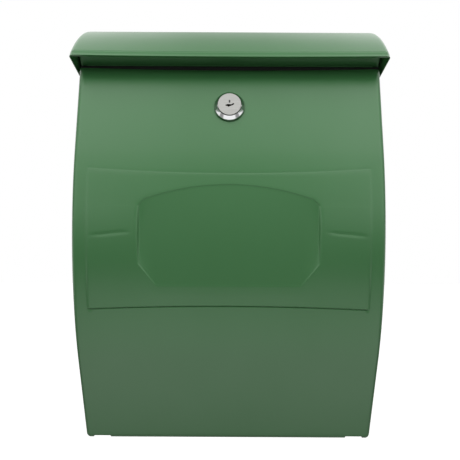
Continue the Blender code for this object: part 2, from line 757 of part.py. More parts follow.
def lock_hole(grow):
    """A round hole with two flats, seen along its axis."""
    radius = LOCK_BODY_RADIUS + grow
    start = math.acos((LOCK_FLAT + grow) / radius)
    arcs = (start, math.pi - start), (math.pi + start, 2 * math.pi - start)
    return [point for low, high in arcs for point in circle(radius, 12, low, high)]


def bend(point):
    """From flat panel coordinates to the door's real shape."""
    x, depth, station = point
    sag_height = max(0.0, (station - DOOR_TOP_STATION) / DOOR_TOP_SAG_HEIGHT + 1)
    sag = DOOR_TOP_SAG * (1 - (x / HALF) ** 2) * min(1.0, sag_height)
    bent = panel_point(station - sag, depth)
    return Vector((x, bent.y, bent.z))


def foot_cutter():
    """Leaves only the front wall below the hinge's axis, and tapers the flanges above it."""
    curl, far = 2 * CURL_RADIUS, DOOR_RIM_DEPTH + RIM_TAPER
    slope = (DOOR_RIM_DEPTH - curl) / RIM_TAPER
    outline = [
        (WALL, CURL_END - MM),
        (WALL, HINGE_STATION),
        (curl, HINGE_STATION),
        (far, HINGE_STATION + (far - curl) / slope),
        (far, CURL_END - MM),
    ]
    return prism("foot", outline, -2 * HALF, 2 * HALF)


def nose(side):
    """The flange's round foot. Its front half is rounded like the panel's edge."""
    bm = bmesh.new()
    inner, outer = HALF - WALL - OVERLAP, HALF - NOSE_STEP / 5
    rings = []
    for k in range(ROUND_STEPS):
        angle = LOWER_LEAN + 2 * math.pi * (k + NOSE_PHASE) / ROUND_STEPS
        in_front = ROUND_STEPS / 4 <= k <= ROUND_STEPS * 0.7
        radius = CURL_RADIUS - (2 * NOSE_STEP if in_front else 0)
        fillet = EDGE_RADIUS if in_front else 2 * NOSE_STEP
        turns = [math.radians(22.5 * step) for step in range(1, 5)]
        profile = [(outer - fillet * (1 - math.sin(t)), radius - fillet * (1 - math.cos(t))) for t in turns]
        profile.insert(0, (inner, profile[0][1]))
        way = Vector((0, math.cos(angle), math.sin(angle)))
        rings.append([bm.verts.new(Vector((side * x, 0, 0)) + HINGE_AXIS + way * r) for x, r in profile])
    hub = HINGE_AXIS + bow_frame(HINGE_STATION)[1] * MM
    hubs = [bm.verts.new(Vector((side * x, 0, 0)) + hub) for x in (inner, outer)]
    for ring_a, ring_b in zip(rings, rings[1:] + rings[:1]):
        for k in range(len(ring_a) - 1):
            bm.faces.new((ring_a[k], ring_b[k], ring_b[k + 1], ring_a[k + 1]))
        bm.faces.new((hubs[0], ring_b[0], ring_a[0]))
        bm.faces.new((hubs[1], ring_a[-1], ring_b[-1]))
    bmesh.ops.triangulate(bm, faces=bm.faces)
    return new_object("nose", bm)


def door_pan():
    """The bowed front with its side flanges, modelled flat and then bent."""
    low, high = CURL_END, DOOR_TOP_STATION
    pan = block("door_panel", (-HALF, 0, low), (HALF, DOOR_RIM_DEPTH, high))
    bevelled(pan, lambda a, b: a.y < MM and b.y < MM and abs(a.x - b.x) < MM, EDGE_RADIUS, 4)
    inner = HALF - WALL
    hollow = block("hollow", (-inner, WALL, low - MM), (inner, DOOR_RIM_DEPTH + MM, high + MM))
    bevelled(hollow, lambda a, b: max(a.y, b.y) < WALL + MM and abs(a.x - b.x) < MM, INNER_EDGE_RADIUS, 2)
    pan = combined(pan, cuts=[hollow, foot_cutter()])
    pan = combined(pan, adds=[belt_grid()], cuts=[recess_cutter()])
    hole = [(u, -5 * MM, LOCK_STATION + v) for u, v in lock_hole(GAP)]
    pan = combined(pan, cuts=[extruded("lock_hole", hole, (0, 15 * MM, 0))])
    bm = bmesh.new()
    bm.from_mesh(pan.data)
    rows = stations(HINGE_STATION, DOOR_TOP_STATION)[1:-1] + [DOOR_TOP_STATION - DOOR_TOP_SAG_HEIGHT]
    rows += [HINGE_STATION - (HINGE_STATION - CURL_END) * k / 5 for k in range(5)]
    columns = [PANEL_COLUMN * k for k in range(-5, 6)]
    cuts = [((0, 0, s), (0, 0, 1)) for s in rows] + [((x, 0, 0), (1, 0, 0)) for x in columns]
    for place, normal in cuts:
        geometry = bm.verts[:] + bm.edges[:] + bm.faces[:]
        bmesh.ops.bisect_plane(bm, geom=geometry, plane_co=place, plane_no=normal, dist=1e-6)
    bmesh.ops.triangulate(bm, faces=bm.faces)
    for vert in bm.verts:
        vert.co = bend(vert.co)
    bm.to_mesh(pan.data)
    bm.free()
    return pan


def corner_cutter(side):
    """Rounds the door's bottom corner in front view."""
    low = HINGE_AXIS.z - CURL_RADIUS
    x, z = HALF - CORNER_RADIUS, low + CORNER_RADIUS
    arc = [(side * (x + u), z + w) for u, w in circle(CORNER_RADIUS, 5, 1.5 * math.pi, 2 * math.pi)]
    far_x, far_z = side * (HALF + MM), low - MM
    outline = [(arc[0][0], far_z), *arc, (far_x, arc[-1][1]), (far_x, far_z)]
    return extruded("corner", [(x, -0.1, z) for x, z in outline], (0, 0.1, 0))


def knuckle_outline():
    """A barrel round the hinge's axis, on a web out of the panel."""
    half = KNUCKLE_WEB / 2
    root = WALL - OVERLAP
    spread = math.degrees(math.asin(half / KNUCKLE_RADIUS))
    outward = 180 + math.degrees(LOWER_LEAN)
    wall = [lower_point(rise, root) for rise in (half, -half)]
    barrel = around(HINGE_AXIS, KNUCKLE_RADIUS, outward + spread, outward + 360 - spread, 18)
    return [(p.y, p.z) for p in wall] + barrel


def door_panel():
    door = door_pan()
    adds, cuts = [], []
    reach = CURL_RADIUS + NOTCH_REACH
    notch = [(HINGE_AXIS.y, HINGE_AXIS.z), *around(HINGE_AXIS, reach, math.degrees(NOTCH_ANGLE), 330, 4)]
    for side in (-1, 1):
        adds.append(nose(side))
        end = EAR_INNER_X - SWING_GAP
        knuckle = sorted((side * (end - KNUCKLE_LENGTH), side * end))
        adds.append(prism("knuckle", knuckle_outline(), *knuckle))
        bore = sorted((side * (end - KNUCKLE_LENGTH - MM), side * (end + NOSE_STEP)))
        cuts.append(rod_x("bore", HINGE_AXIS, PIN_RADIUS + GAP, *bore))
        gap = sorted((side * (EAR_INNER_X - SWING_GAP + NOSE_STEP), side * (EAR_OUTER_X + SWING_GAP)))
        cuts.append(prism("notch", notch, *gap))
        cuts.append(corner_cutter(side))
    return combined(door, adds=adds, cuts=cuts)


# ---- Lock, along its own axis: Z points out of the door, X to the right ----


def ring(name, inner, outer, low, high, steps=ROUND_STEPS):
    return turned(name, [(inner, low), (outer, low), (outer, high), (inner, high)], steps)


def lock_gasket():
    return ring("lock_gasket", LOCK_BODY_RADIUS + GAP, TRIM_RADIUS + GAP, GAP, GAP + GASKET_THICKNESS, 32)


def lock_trim_ring():
    """A cone round the lock's head, with a web that the head clamps."""
    base = 2 * GAP + GASKET_THICKNESS
    inner = LOCK_HEAD_RADIUS + GAP
    profile = [
        (LOCK_BODY_RADIUS + GAP, base),
        (TRIM_RADIUS, base),
        (TRIM_RADIUS, base + GASKET_THICKNESS),
        (TRIM_TOP_RADIUS, TRIM_HEIGHT - GAP),
        (TRIM_TOP_RADIUS - GAP, TRIM_HEIGHT),
        (inner, TRIM_HEIGHT),
        (inner, base + TRIM_WEB),
        (LOCK_BODY_RADIUS + GAP, base + TRIM_WEB),
    ]
    return turned("lock_trim_ring", profile, 32)


def lock_barrel():
    """The fixed body: a head, and a body with two flats and a bore for the plug."""
    bore = PLUG_RADIUS + GAP
    profile = [
        (bore, -LOCK_DEPTH),
        (LOCK_BODY_RADIUS, -LOCK_DEPTH),
        (LOCK_BODY_RADIUS, LOCK_HEAD_BACK + GAP),
        (LOCK_HEAD_RADIUS, LOCK_HEAD_BACK + GAP),
        (LOCK_HEAD_RADIUS, LOCK_HEAD_FRONT),
        (bore, LOCK_HEAD_FRONT),
    ]
    barrel = turned("lock_barrel", profile, 32)
    reach = 2 * LOCK_BODY_RADIUS
    cuts = []
    for side in (-1, 1):
        ends = sorted((side * LOCK_FLAT, side * reach))
        cuts.append(block("flat", (ends[0], -reach, -LOCK_DEPTH - MM), (ends[1], reach, LOCK_HEAD_BACK)))
    return combined(barrel, cuts=cuts)


def lock_washer():
    high = -WALL - GAP
    return ring("lock_washer", LOCK_BODY_RADIUS + GAP, WASHER_RADIUS, high - WASHER_THICKNESS, high)


def lock_nut():
    high = -WALL - 2 * GAP - WASHER_THICKNESS
    corner = NUT_ACROSS_FLATS / math.sqrt(3)
    outline = [(u, v, high - NUT_THICKNESS) for u, v in circle(corner, 6)]
    nut = extruded("lock_nut", outline, (0, 0, NUT_THICKNESS))
    bore = [(u, v, high - 2 * NUT_THICKNESS) for u, v in circle(LOCK_BODY_RADIUS + GAP, 32)]
    return combined(nut, cuts=[extruded("bore", bore, (0, 0, 3 * NUT_THICKNESS))])


def cam_rear():
    return -LOCK_DEPTH - 2 * GAP - CAM_THICKNESS


def lock_plug():
    """The turning plug: face, round body with the keyway and wafer slots, square tail."""
    body_end = -LOCK_DEPTH - GAP
    face_back = LOCK_HEAD_FRONT + GAP
    chamfer = 0.4 * MM
    profile = [
        (0, body_end),
        (PLUG_RADIUS, body_end),
        (PLUG_RADIUS, face_back),
        (LOCK_HEAD_RADIUS, face_back),
        (LOCK_HEAD_RADIUS, FACE_FRONT - chamfer),
        (LOCK_HEAD_RADIUS - chamfer, FACE_FRONT),
        (0, FACE_FRONT),
    ]
    plug = turned("lock_plug", profile, 32)
    half = TAIL_WIDTH / 2
    tail = block("tail", (-half, -half, cam_rear()), (half, half, body_end + MM))
    cuts = [keyway()]
    slot_half = WAFER_WIDTH / 2 + GAP / 2
    for height in wafer_heights():
        low = (-2 * PLUG_RADIUS, -slot_half, height - GAP / 2)
        high = (2 * PLUG_RADIUS, slot_half, height + WAFER_THICKNESS + GAP / 2)
        cuts.append(block("wafer_slot", low, high))
    bore = [(u, v, cam_rear() - MM) for u, v in circle(CAM_SCREW_RADIUS + GAP, 16)]
    cuts.append(extruded("screw_bore", bore, (0, 0, CAM_BORE_DEPTH + MM)))
    return combined(plug, adds=[tail], cuts=cuts)


def keyway():
    """A stepped slot for the key blade, open at the face."""
    half, thick = KEYWAY_LENGTH / 2, KEYWAY_WIDTH / 2
    outline = [
        (-half, -thick),
        (half * 0.25, -thick),
        (half * 0.25, -thick * 0.4),
        (half, -thick * 0.4),
        (half, thick),
        (-half * 0.25, thick),
        (-half * 0.25, thick * 0.4),
        (-half, thick * 0.4),
    ]
    low = FACE_FRONT - KEYWAY_DEPTH
    return extruded("keyway", [(u, v, low) for u, v in outline], (0, 0, KEYWAY_DEPTH + MM))


def wafer_heights():
    return [WAFER_FIRST - WAFER_PITCH * k for k in range(WAFER_COUNT)]


def lock_wafer(name, height):
    """A flat tumbler with a window for the key, drawn in flush with the plug."""
    half_long, half_wide = PLUG_RADIUS * 0.8, WAFER_WIDTH / 2
    wafer = block(name, (-half_long, -half_wide, height), (half_long, half_wide, height + WAFER_THICKNESS))
    window_long, window_wide = half_long - MM, KEYWAY_WIDTH / 2 + GAP
    low = (-window_long, -window_wide, height - MM)
    high = (window_long, window_wide, height + WAFER_THICKNESS + MM)
    return combined(wafer, cuts=[block("window", low, high)])


def cam_outline():
    """The cranked cam from the side: along the arm, and along the lock's axis."""
    high = -LOCK_DEPTH - 2 * GAP
    low = cam_rear()
    return [
        (-CAM_BACK, low),
        (CAM_CRANK_START, low),
        (CAM_CRANK_END, low + CAM_CRANK),
        (CAM_REACH, low + CAM_CRANK),
        (CAM_REACH, high + CAM_CRANK),
        (CAM_CRANK_END, high + CAM_CRANK),
        (CAM_CRANK_START, high),
        (-CAM_BACK, high),
    ]


def lock_cam():
    half = CAM_WIDTH / 2
    outline = [(u, -half, w) for u, w in cam_outline()]
    cam = extruded("lock_cam", outline, (0, CAM_WIDTH, 0))
    hole = TAIL_WIDTH / 2 + GAP
    return combined(cam, cuts=[block("hole", (-hole, -hole, -2 * LOCK_DEPTH), (hole, hole, 0))])


def cam_washer():
    high = cam_rear() - GAP
    return ring("cam_washer", CAM_SCREW_RADIUS + GAP, CAM_WASHER_RADIUS, high - CAM_WASHER_THICKNESS, high)


def cam_screw():
    high = cam_rear() - 2 * GAP - CAM_WASHER_THICKNESS
    head = CAM_SCREW_HEAD_RADIUS
    profile = [
        (0, high - CAM_SCREW_HEAD_LENGTH),
        (head * 0.8, high - CAM_SCREW_HEAD_LENGTH),
        (head, high - CAM_SCREW_HEAD_LENGTH * 0.6),
        (head, high),
        (CAM_SCREW_RADIUS, high),
        (CAM_SCREW_RADIUS, high + CAM_SCREW_LENGTH),
        (0, high + CAM_SCREW_LENGTH),
    ]
    screw = turned("cam_screw", profile)
    drive = cross(0.6 * head, high - 1.5 * CAM_SCREW_HEAD_LENGTH, CAM_SCREW_HEAD_LENGTH)
    return combined(screw, cuts=[drive])


# ---- Assembly ----


def material(name, colour, roughness, metallic):
    made = bpy.data.materials.new(name)
    made.use_nodes = True
    shader = made.node_tree.nodes["Principled BSDF"]
    shader.inputs["Base Color"].default_value = (*colour, 1)
    shader.inputs["Roughness"].default_value = roughness
    shader.inputs["Metallic"].default_value = metallic
    return made


def finished(obj, look, parent=None):
    """Gives a piece its own material and its place under its axis."""
    name, *values = look
    obj.data.materials.clear()
    obj.data.materials.append(material(f"{obj.name}_{name}", *values))
    obj.data.shade_smooth()
    obj.data.set_sharp_from_angle(angle=math.radians(30))
    if parent:
        obj.parent = parent
    return obj


def axis_empty(name, matrix, parent=None):
    empty = bpy.data.objects.new(name, None)
    bpy.context.scene.collection.objects.link(empty)
    empty.matrix_world = matrix
    if parent:
        empty.parent = parent
        empty.matrix_parent_inverse = parent.matrix_world.inverted()
    return empty


def hung(obj, axis, look):
    """A piece made in place, under the axis that it turns about."""
    finished(obj, look, axis)
    obj.matrix_parent_inverse = axis.matrix_world.inverted()


def lock_frame():
    point, up, inward = bow_frame(LOCK_STATION)
    right = Vector((1, 0, 0))
    columns = [right, up, -inward]
    turn = Matrix([[c[row] for c in columns] for row in range(3)]).to_4x4()
    return Matrix.Translation(point) @ turn


def build_housing():
    finished(housing_shell(), GREEN)
    finished(slot_rail(), GREEN)
    for side, word in ((-1, "left"), (1, "right")):
        for level, height in screw_heights().items():
            finished(rail_screw(f"rail_screw_{level}_{word}", side * SCREW_X, height), STEEL)
        head = side * (HALF - LID_EAR_LENGTH - GAP - PIN_HEAD_LENGTH)
        tip = side * (LID_HALF - WALL + LID_PIN_DEPTH - GAP)
        finished(headed_pin(f"lid_pivot_pin_{word}", LID_AXIS, head, tip), STEEL)
        head = side * (EAR_INNER_X - SWING_GAP - KNUCKLE_LENGTH - GAP - PIN_HEAD_LENGTH)
        finished(headed_pin(f"door_hinge_pin_{word}", HINGE_AXIS, head, side * (EAR_OUTER_X - GAP)), STEEL)


def build_lid():
    hung(lid_hood(), axis_empty("lid_axis", Matrix.Translation(LID_AXIS)), GREEN)


def build_door():
    door_axis = axis_empty("door_axis", Matrix.Translation(HINGE_AXIS))
    hung(door_panel(), door_axis, GREEN)
    lock_axis = axis_empty("lock_axis", lock_frame(), door_axis)
    finished(lock_gasket(), RUBBER, lock_axis)
    finished(lock_trim_ring(), CHROME, lock_axis)
    finished(lock_barrel(), STEEL, lock_axis)
    finished(lock_washer(), STEEL, lock_axis)
    finished(lock_nut(), STEEL, lock_axis)
    finished(lock_plug(), CHROME, lock_axis)
    for number, height in enumerate(wafer_heights(), 1):
        finished(lock_wafer(f"lock_wafer_{number}", height), BRASS, lock_axis)
    finished(lock_cam(), STEEL, lock_axis)
    finished(cam_washer(), STEEL, lock_axis)
    finished(cam_screw(), STEEL, lock_axis)


def main():
    for obj in list(bpy.data.objects):
        bpy.data.objects.remove(obj)
    build_housing()
    build_lid()
    build_door()
    bpy.context.view_layer.update()


main()
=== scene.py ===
"""A green moulded wall mailbox with a cam lock, built round its packed model.

Metres. X runs to the right seen from the front, +Y into the wall and +Z up.
"""

import json
import math
from contextlib import contextmanager

import bmesh
import bpy
import numpy as np
from bpy.props import FloatProperty, FloatVectorProperty, PointerProperty
from mathutils import Matrix, Vector


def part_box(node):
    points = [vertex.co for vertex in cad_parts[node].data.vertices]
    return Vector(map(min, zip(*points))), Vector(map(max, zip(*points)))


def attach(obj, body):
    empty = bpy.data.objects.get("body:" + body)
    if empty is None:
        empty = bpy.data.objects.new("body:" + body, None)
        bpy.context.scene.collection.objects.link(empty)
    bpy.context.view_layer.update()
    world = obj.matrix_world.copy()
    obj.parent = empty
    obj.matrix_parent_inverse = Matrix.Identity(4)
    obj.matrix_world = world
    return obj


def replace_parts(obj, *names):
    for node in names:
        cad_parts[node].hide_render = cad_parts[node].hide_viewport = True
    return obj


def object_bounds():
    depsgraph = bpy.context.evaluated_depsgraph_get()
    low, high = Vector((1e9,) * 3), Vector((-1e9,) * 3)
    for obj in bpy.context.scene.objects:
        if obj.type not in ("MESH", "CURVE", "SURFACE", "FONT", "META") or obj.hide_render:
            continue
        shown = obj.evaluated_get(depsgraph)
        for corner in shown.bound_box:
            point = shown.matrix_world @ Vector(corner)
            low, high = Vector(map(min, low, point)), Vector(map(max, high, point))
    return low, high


bl_info = {
    "name": "Wall Mailbox",
    "version": (1, 0, 0),
    "blender": (4, 5, 0),
    "location": "3D View > Sidebar > Mailbox",
    "description": "Builds a moulded wall mailbox with a rain lid, a bowed drop front and a cam lock",
    "category": "Object",
}

MM = 0.001
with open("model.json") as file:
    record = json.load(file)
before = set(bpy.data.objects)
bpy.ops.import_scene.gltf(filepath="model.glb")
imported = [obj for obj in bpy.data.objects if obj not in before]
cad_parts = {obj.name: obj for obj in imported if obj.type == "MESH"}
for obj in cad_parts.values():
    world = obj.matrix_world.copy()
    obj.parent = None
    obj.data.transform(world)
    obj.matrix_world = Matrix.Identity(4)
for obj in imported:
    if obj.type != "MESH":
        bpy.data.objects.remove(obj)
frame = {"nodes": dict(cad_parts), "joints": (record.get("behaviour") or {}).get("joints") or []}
CAD_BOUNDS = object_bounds()
JOINTS = {joint["name"]: joint for joint in frame["joints"]}
DOOR_AXIS = Vector(JOINTS["door_hinge"]["pos_m"])
LID_AXIS = Vector(JOINTS["lid_hinge"]["pos_m"])
DOOR_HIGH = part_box("door_panel")[1]
LID_LOW, LID_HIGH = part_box("lid_hood")
TOUCHING = 1e-7


# ---- Settings ----


def linear(code):
    """An sRGB hex value as linear red, green and blue."""
    shares = [int(code[k : k + 2], 16) / 255 for k in (0, 2, 4)]
    return tuple(c / 12.92 if c <= 0.04045 else ((c + 0.055) / 1.055) ** 2.4 for c in shares)


def size(name, millimetres, description):
    """A length, given in millimetres."""
    default = millimetres * MM
    return FloatProperty(
        name=name, description=description, default=default, precision=5, unit="LENGTH", subtype="DISTANCE"
    )


def angle(name, degrees, description):
    """An angle, given in degrees."""
    default = math.radians(degrees)
    return FloatProperty(name=name, description=description, default=default, unit="ROTATION", subtype="ANGLE")


def level(name, default, description):
    """A plain number, never below 0."""
    return FloatProperty(name=name, description=description, default=default, min=0)


def colour(name, code, description):
    """A colour, given as an sRGB hex value."""
    default = linear(code)
    return FloatVectorProperty(
        name=name, description=description, default=default, size=3, min=0, max=1, subtype="COLOR"
    )


class MailboxFront(bpy.types.PropertyGroup):
    """The bowed front."""

    wall: size("Wall", 2.5, "Thickness of the moulded walls")
    bow_depth: size("Bow Depth", 117.5, "From the wall to the front of the bow")
    upper_radius: size("Upper Radius", 300, "Radius of the bow's upper half")
    upper_lean: angle("Upper Lean", 15.5, "How far the front's straight top leans back")
    lower_radius: size("Lower Radius", 280, "Radius of the bow's lower half")
    lower_lean: angle("Lower Lean", 27.5, "How far the front's straight bottom leans back")
    door_top: size("Door Top", 161.9, "Height of the door's top edge at its sides")
    top_sag: size("Top Sag", 2.5, "How far the top edge dips in its middle")
    sag_height: size("Sag Height", 20, "How far below the top edge the dip fades out")
    rim_depth: size("Rim Depth", 20, "How far the door's side flanges reach back")
    rim_taper: size("Rim Taper", 14, "Height over which the flanges narrow above the hinge")
    edge_radius: size("Edge Radius", 4, "Rounding of the door's side edges")
    inner_radius: size("Inner Radius", 1.5, "Rounding of the same edges inside")
    corner_radius: size("Corner Radius", 6, "Rounding of the door's bottom corners")
    lip_round: size("Lip Round", 0.5, "Rounding of the door's top edge")
    curl_radius: size("Curl Radius", 8.17, "Radius of the roll round the hinge")
    curl_turn: angle("Curl Turn", 67, "How far the roll turns below the hinge")
    knuckle_radius: size("Knuckle Radius", 5, "Radius of the door's hinge barrels")
    knuckle_length: size("Knuckle Length", 18.5, "Length of the door's hinge barrels")
    ear_margin: size("Ear Margin", 7.8, "From the housing's hinge ears to its sides")
    ear_length: size("Ear Length", 17, "Length of the housing's hinge ears")
    swing_gap: size("Swing Gap", 0.6, "Clearance round what turns past")


class MailboxRelief(bpy.types.PropertyGroup):
    """The raised belt and the label recess."""

    top_gap: size("Top Gap", 0.8, "How far the panel's top edge is set below the rail's heel")
    belt_rise: size("Belt Rise", 1.2, "How far the belt stands out along its lower edge, above which it fades")
    belt_margin: size("Belt Margin", 12.8, "From the belt's ends to the door's sides")
    belt_top: size("Belt Top", 57, "Height of the belt's upper edge in its middle")
    belt_top_rise: size("Top Rise", 5, "How much higher that edge is at the belt's ends")
    belt_top_ramp: size("Top Ramp", 3, "Height of the soft slope along it")
    belt_crease: size("Top Crease", 0.16, "Depth of the crease in that slope")
    belt_draft: size("Foot Draft", 0.45, "How much less the belt stands out at its foot, below the label recess")
    belt_bottom: size("Belt Bottom", -71.7, "Height of the belt's lower edge in its middle")
    belt_bottom_arch: size("Bottom Arch", 3.3, "How much lower that edge is at the belt's ends")
    belt_bottom_ramp: size("Bottom Ramp", 0.8, "Height of the step along it")
    shut_line: size("Shut Line", 1.4, "Height of the groove under that step")
    shut_depth: size("Shut Line Depth", 0.75, "Depth of that groove")
    belt_side_ramp: size("Side Ramp", 3, "Width of the slopes at the belt's ends")
    recess_depth: size("Recess Depth", 0.4, "Depth of the label recess at its upper edge")
    recess_bulge: size("Recess Bulge", 2.5, "How much deeper it is in its middle, as it is flatter than the bow")
    recess_half: size("Recess Half Width", 87, "Half the width of the label recess")
    recess_top: size("Recess Top", 44.7, "Height of its upper edge in its middle")
    recess_shoulder: size("Recess Shoulder", 31, "Height of the ends of its upper edge")
    recess_corner: size("Recess Corner", 7, "Cut off its upper corners")
    recess_side: size("Recess Side", -31, "Height of the lower end of its sides")
    recess_bottom: size("Recess Bottom", -53, "Height of its lower edge")
    recess_chamfer: size("Recess Chamfer", 18, "Width cut off its lower corners")
    recess_slope: size("Recess Slope", 2.4, "Width of the slope round it")
    flow_line: size("Flow Line", 0.42, "Depth of the faint grooves left by the mould")


class MailboxSealShade(bpy.types.PropertyGroup):
    """The soft black strip on the rail, behind the door's top edge: a seal whose black is also painted shade for the
    gap there.
    """

    face: size("Face", -80, "Where the rail's lower face is")
    low: size("Low", 158.6, "Height of the strip's lower edge")
    low_ends: size("Low Ends", 160.8, "Height of its lower edge past the door's corners")
    high: size("High", 163.8, "Height of its upper edge")
    rise: size("Rise", 1.2, "How far it bulges from the rail")
    end: size("End", 1.0, "From its ends to the rail's ends")
    corner: size("Corner", 4.2, "From where it narrows to the rail's ends")


class MailboxLid(bpy.types.PropertyGroup):
    """The rain lid."""

    hem_depth: size("Hem Depth", 5, "From the lip back to the crease above it")
    hem_height: size("Hem Height", 5.6, "From the lip up to the crease above it")
    hem_thickness: size("Hem Thickness", 3.6, "Thickness of the lip")
    hem_step: size("Hem Step", 0.5, "How much the lip's lower edge rises inwards")
    rear_radius: size("Rear Radius", 10, "Radius of the roll round the lid's axis")
    rear_slope: angle("Rear Slope", 10.7, "Slope of the roof at its rear")
    rear_end: angle("Rear End", -8, "Where the roll ends behind the axis")
    side_fall: level("Side Fall", 0.176, "Slope of the end caps' lower edge")
    edge_radius: size("Lid Edge Radius", 4.8, "Rounding where the roof meets the end caps")
    boss_radius: size("Boss Radius", 5.5, "Radius of the bosses for the pivot pins")
    pin_depth: size("Pin Depth", 1.3, "How deep the pivot pins enter the end caps")
    pin_radius: size("Pin Radius", 2, "Radius of the pivot pins")
    gap: size("Gap", 0.3, "Clearance between pieces that touch")
    end_lip: size("End Lip", 0.7, "Thickness of the end caps' lower edge")
    end_thinned: size("End Thinned", 3.5, "Height over which the end caps thin towards it")
    lip_sag: size("Lip Sag", 1.1, "How far the lip sags in its middle")


class MailboxLock(bpy.types.PropertyGroup):
    """The cam lock."""

    body_radius: size("Body Radius", 8.6, "Radius of the threaded body")
    body_flat: size("Body Flat", 7.5, "Half the width across its two flats")
    body_depth: size("Body Depth", 16, "From the door's face to the body's end")
    head_radius: size("Head Radius", 11.5, "Radius of the lock's face")
    face_front: size("Face Front", 7.7, "From the door's face to the lock's")
    trim_radius: size("Trim Radius", 14.9, "Outer radius of the trim ring")
    trim_height: size("Trim Height", 6.5, "From the door's face to the ring's front edge")
    gasket: size("Gasket", 0.7, "Thickness of the rubber gasket")
    plug_radius: size("Plug Radius", 6, "Radius of the turning plug")
    tail: size("Tail", 7, "Width of the square that carries the cam")
    keyway_depth: size("Keyway Depth", 20, "Depth of the keyway")
    thread_pitch: size("Thread Pitch", 1, "From one turn of the body's thread to the next")
    thread_height: size("Thread Height", 0.25, "Height of the thread's ridge")
    nut_back: size("Nut Back", 7.6, "From the door's face to the nut's rear face")


class MailboxColours(bpy.types.PropertyGroup):
    """Colours."""

    plastic: colour("Plastic", "396F3E", "Colour of the moulded plastic")
    plastic_pale: colour("Plastic Flow", "3F7645", "Where the plastic is paler along its flow")
    chrome: colour("Chrome", "B9B9BB", "Reflection of the plated trim ring")
    nickel: colour("Nickel", "8E8E8B", "Reflection of the lock's brushed face")
    zinc: colour("Zinc", "B4B6B8", "Reflection of the zinc-plated steel")
    brass: colour("Brass", "C8A45C", "Reflection of the wafers")
    # Also the black of the rail's strip, which is painted shade for the gap above the door.
    rubber: colour("Rubber", "101211", "Colour of the gasket")
    paint: colour("Paint", "050505", "Colour of the lock's index mark")
    # Old oil, and also painted shade for the deep keyway.
    keyway: colour("Keyway", "0E0C0A", "Reflection of the oiled walls of the keyway")
    floor: colour("Floor", "C4C4C2", "Colour of the floor")


class MailboxLight(bpy.types.PropertyGroup):
    """Studio light."""

    key: level("Key", 1.7, "Power of the softbox in front and above, in watts")
    fill: level("Fill", 2.6, "Power of the softbox above the camera, in watts")
    ambient: level("Ambient", 0.34, "Light from all round")
    room: level("Room", 0.4, "How bright gloss sees the room in front")
    behind: level("Behind", 0.8, "How bright gloss sees what is above and behind")
    sides: level("Sides", 2.0, "How many times brighter gloss sees the sides than the middle")
    wings: level("Wings", 1.4, "How much brighter gloss sees the two reflectors beside the camera")
    floor_seen: level("Floor Seen", 0.85, "How far the floor is lifted towards white for the camera")
    # A painted glow: how bright the floor looks in reflections, not a lamp.
    floor_reflection_glow: level("Floor Gloss", 1.45, "How far the floor is lifted in reflections")


GROUPS = {
    "mailbox_front": MailboxFront,
    "mailbox_relief": MailboxRelief,
    "mailbox_seal": MailboxSealShade,
    "mailbox_lid": MailboxLid,
    "mailbox_lock": MailboxLock,
    "mailbox_colours": MailboxColours,
    "mailbox_light": MailboxLight,
}


# ---- Nodes ----


def node(tree, kind, inputs=None, **settings):
    """Adds a node. Each input is a value, a socket to link from, or a node that stands for its first output."""
    made = tree.nodes.new(kind)
    for name, value in settings.items():
        setattr(made, name, value)
    for key, value in (inputs or {}).items():
        if isinstance(value, bpy.types.Node):
            value = value.outputs[0]
        if isinstance(value, bpy.types.NodeSocket):
            tree.links.new(value, made.inputs[key])
        else:
            made.inputs[key].default_value = value
    return made


def looked_up(known, values):
    """A node's inputs in order: numbers as they are, and names as what is known by them."""
    return {k: known[v] if isinstance(v, str) else v for k, v in enumerate(values)}


def formula(tree, kind, known, steps):
    """Adds a node for each (result, operation, inputs) to what is known. The kind is one with operations."""
    for result, operation, *values in steps:
        known[result] = node(tree, kind, looked_up(known, values), operation=operation)


def applied(obj):
    """Keeps what an object's modifiers make as its plain mesh."""
    bpy.context.view_layer.update()
    evaluated = obj.evaluated_get(bpy.context.evaluated_depsgraph_get())
    mesh = bpy.data.meshes.new_from_object(evaluated)
    obj.modifiers.clear()
    obj.data = mesh
    return obj


def modelled(obj, tree, values):
    """Runs a geometry tree on an object, with its inputs' values by name."""
    modifier = obj.modifiers.new(tree.name, "NODES")
    modifier.node_group = tree
    for item in tree.interface.items_tree:
        if item.in_out == "INPUT" and item.name in values:
            modifier[item.identifier] = values[item.name]
    return applied(obj)


def node_tree(name, lengths, counts=()):
    """A geometry tree with named inputs, and those inputs by name."""
    tree = bpy.data.node_groups.new(name, "GeometryNodeTree")
    kinds = {"Geometry": "Geometry", **dict.fromkeys(lengths, "Float"), **dict.fromkeys(counts, "Int")}
    tree.interface.new_socket("Geometry", in_out="OUTPUT", socket_type="NodeSocketGeometry")
    for label, kind in {**kinds, "Material": "Material"}.items():
        tree.interface.new_socket(label, in_out="INPUT", socket_type="NodeSocket" + kind)
    return tree, dict(node(tree, "NodeGroupInput").outputs.items())


def ended(tree, known, geometry):
    """Ends a geometry tree in real geometry with its material."""
    real = node(tree, "GeometryNodeRealizeInstances", {0: geometry})
    painted = node(tree, "GeometryNodeSetMaterial", {"Geometry": real, "Material": known["Material"]})
    node(tree, "NodeGroupOutput", {0: painted})
    return tree


def ridges(tree, known, path, section, row):
    """Ends a tree in ridges, each a section swept along the path, from the points of a row."""
    swept = node(tree, "GeometryNodeCurveToMesh", {"Curve": path, "Profile Curve": section, "Fill Caps": True})
    points = node(tree, "GeometryNodeMeshLine", row)
    return ended(tree, known, node(tree, "GeometryNodeInstanceOnPoints", {"Points": points, "Instance": swept}))


# ---- Finishes: patterns are in metres, from each piece's place in the mailbox ----


def per(millimetres):
    """The scale of a pattern that repeats about every so many millimetres."""
    return 1 / (millimetres * MM)


def opaque(tone, shade=1.0):
    """A colour, or a shade of it, with its alpha."""
    return (*(part * shade for part in tone), 1)


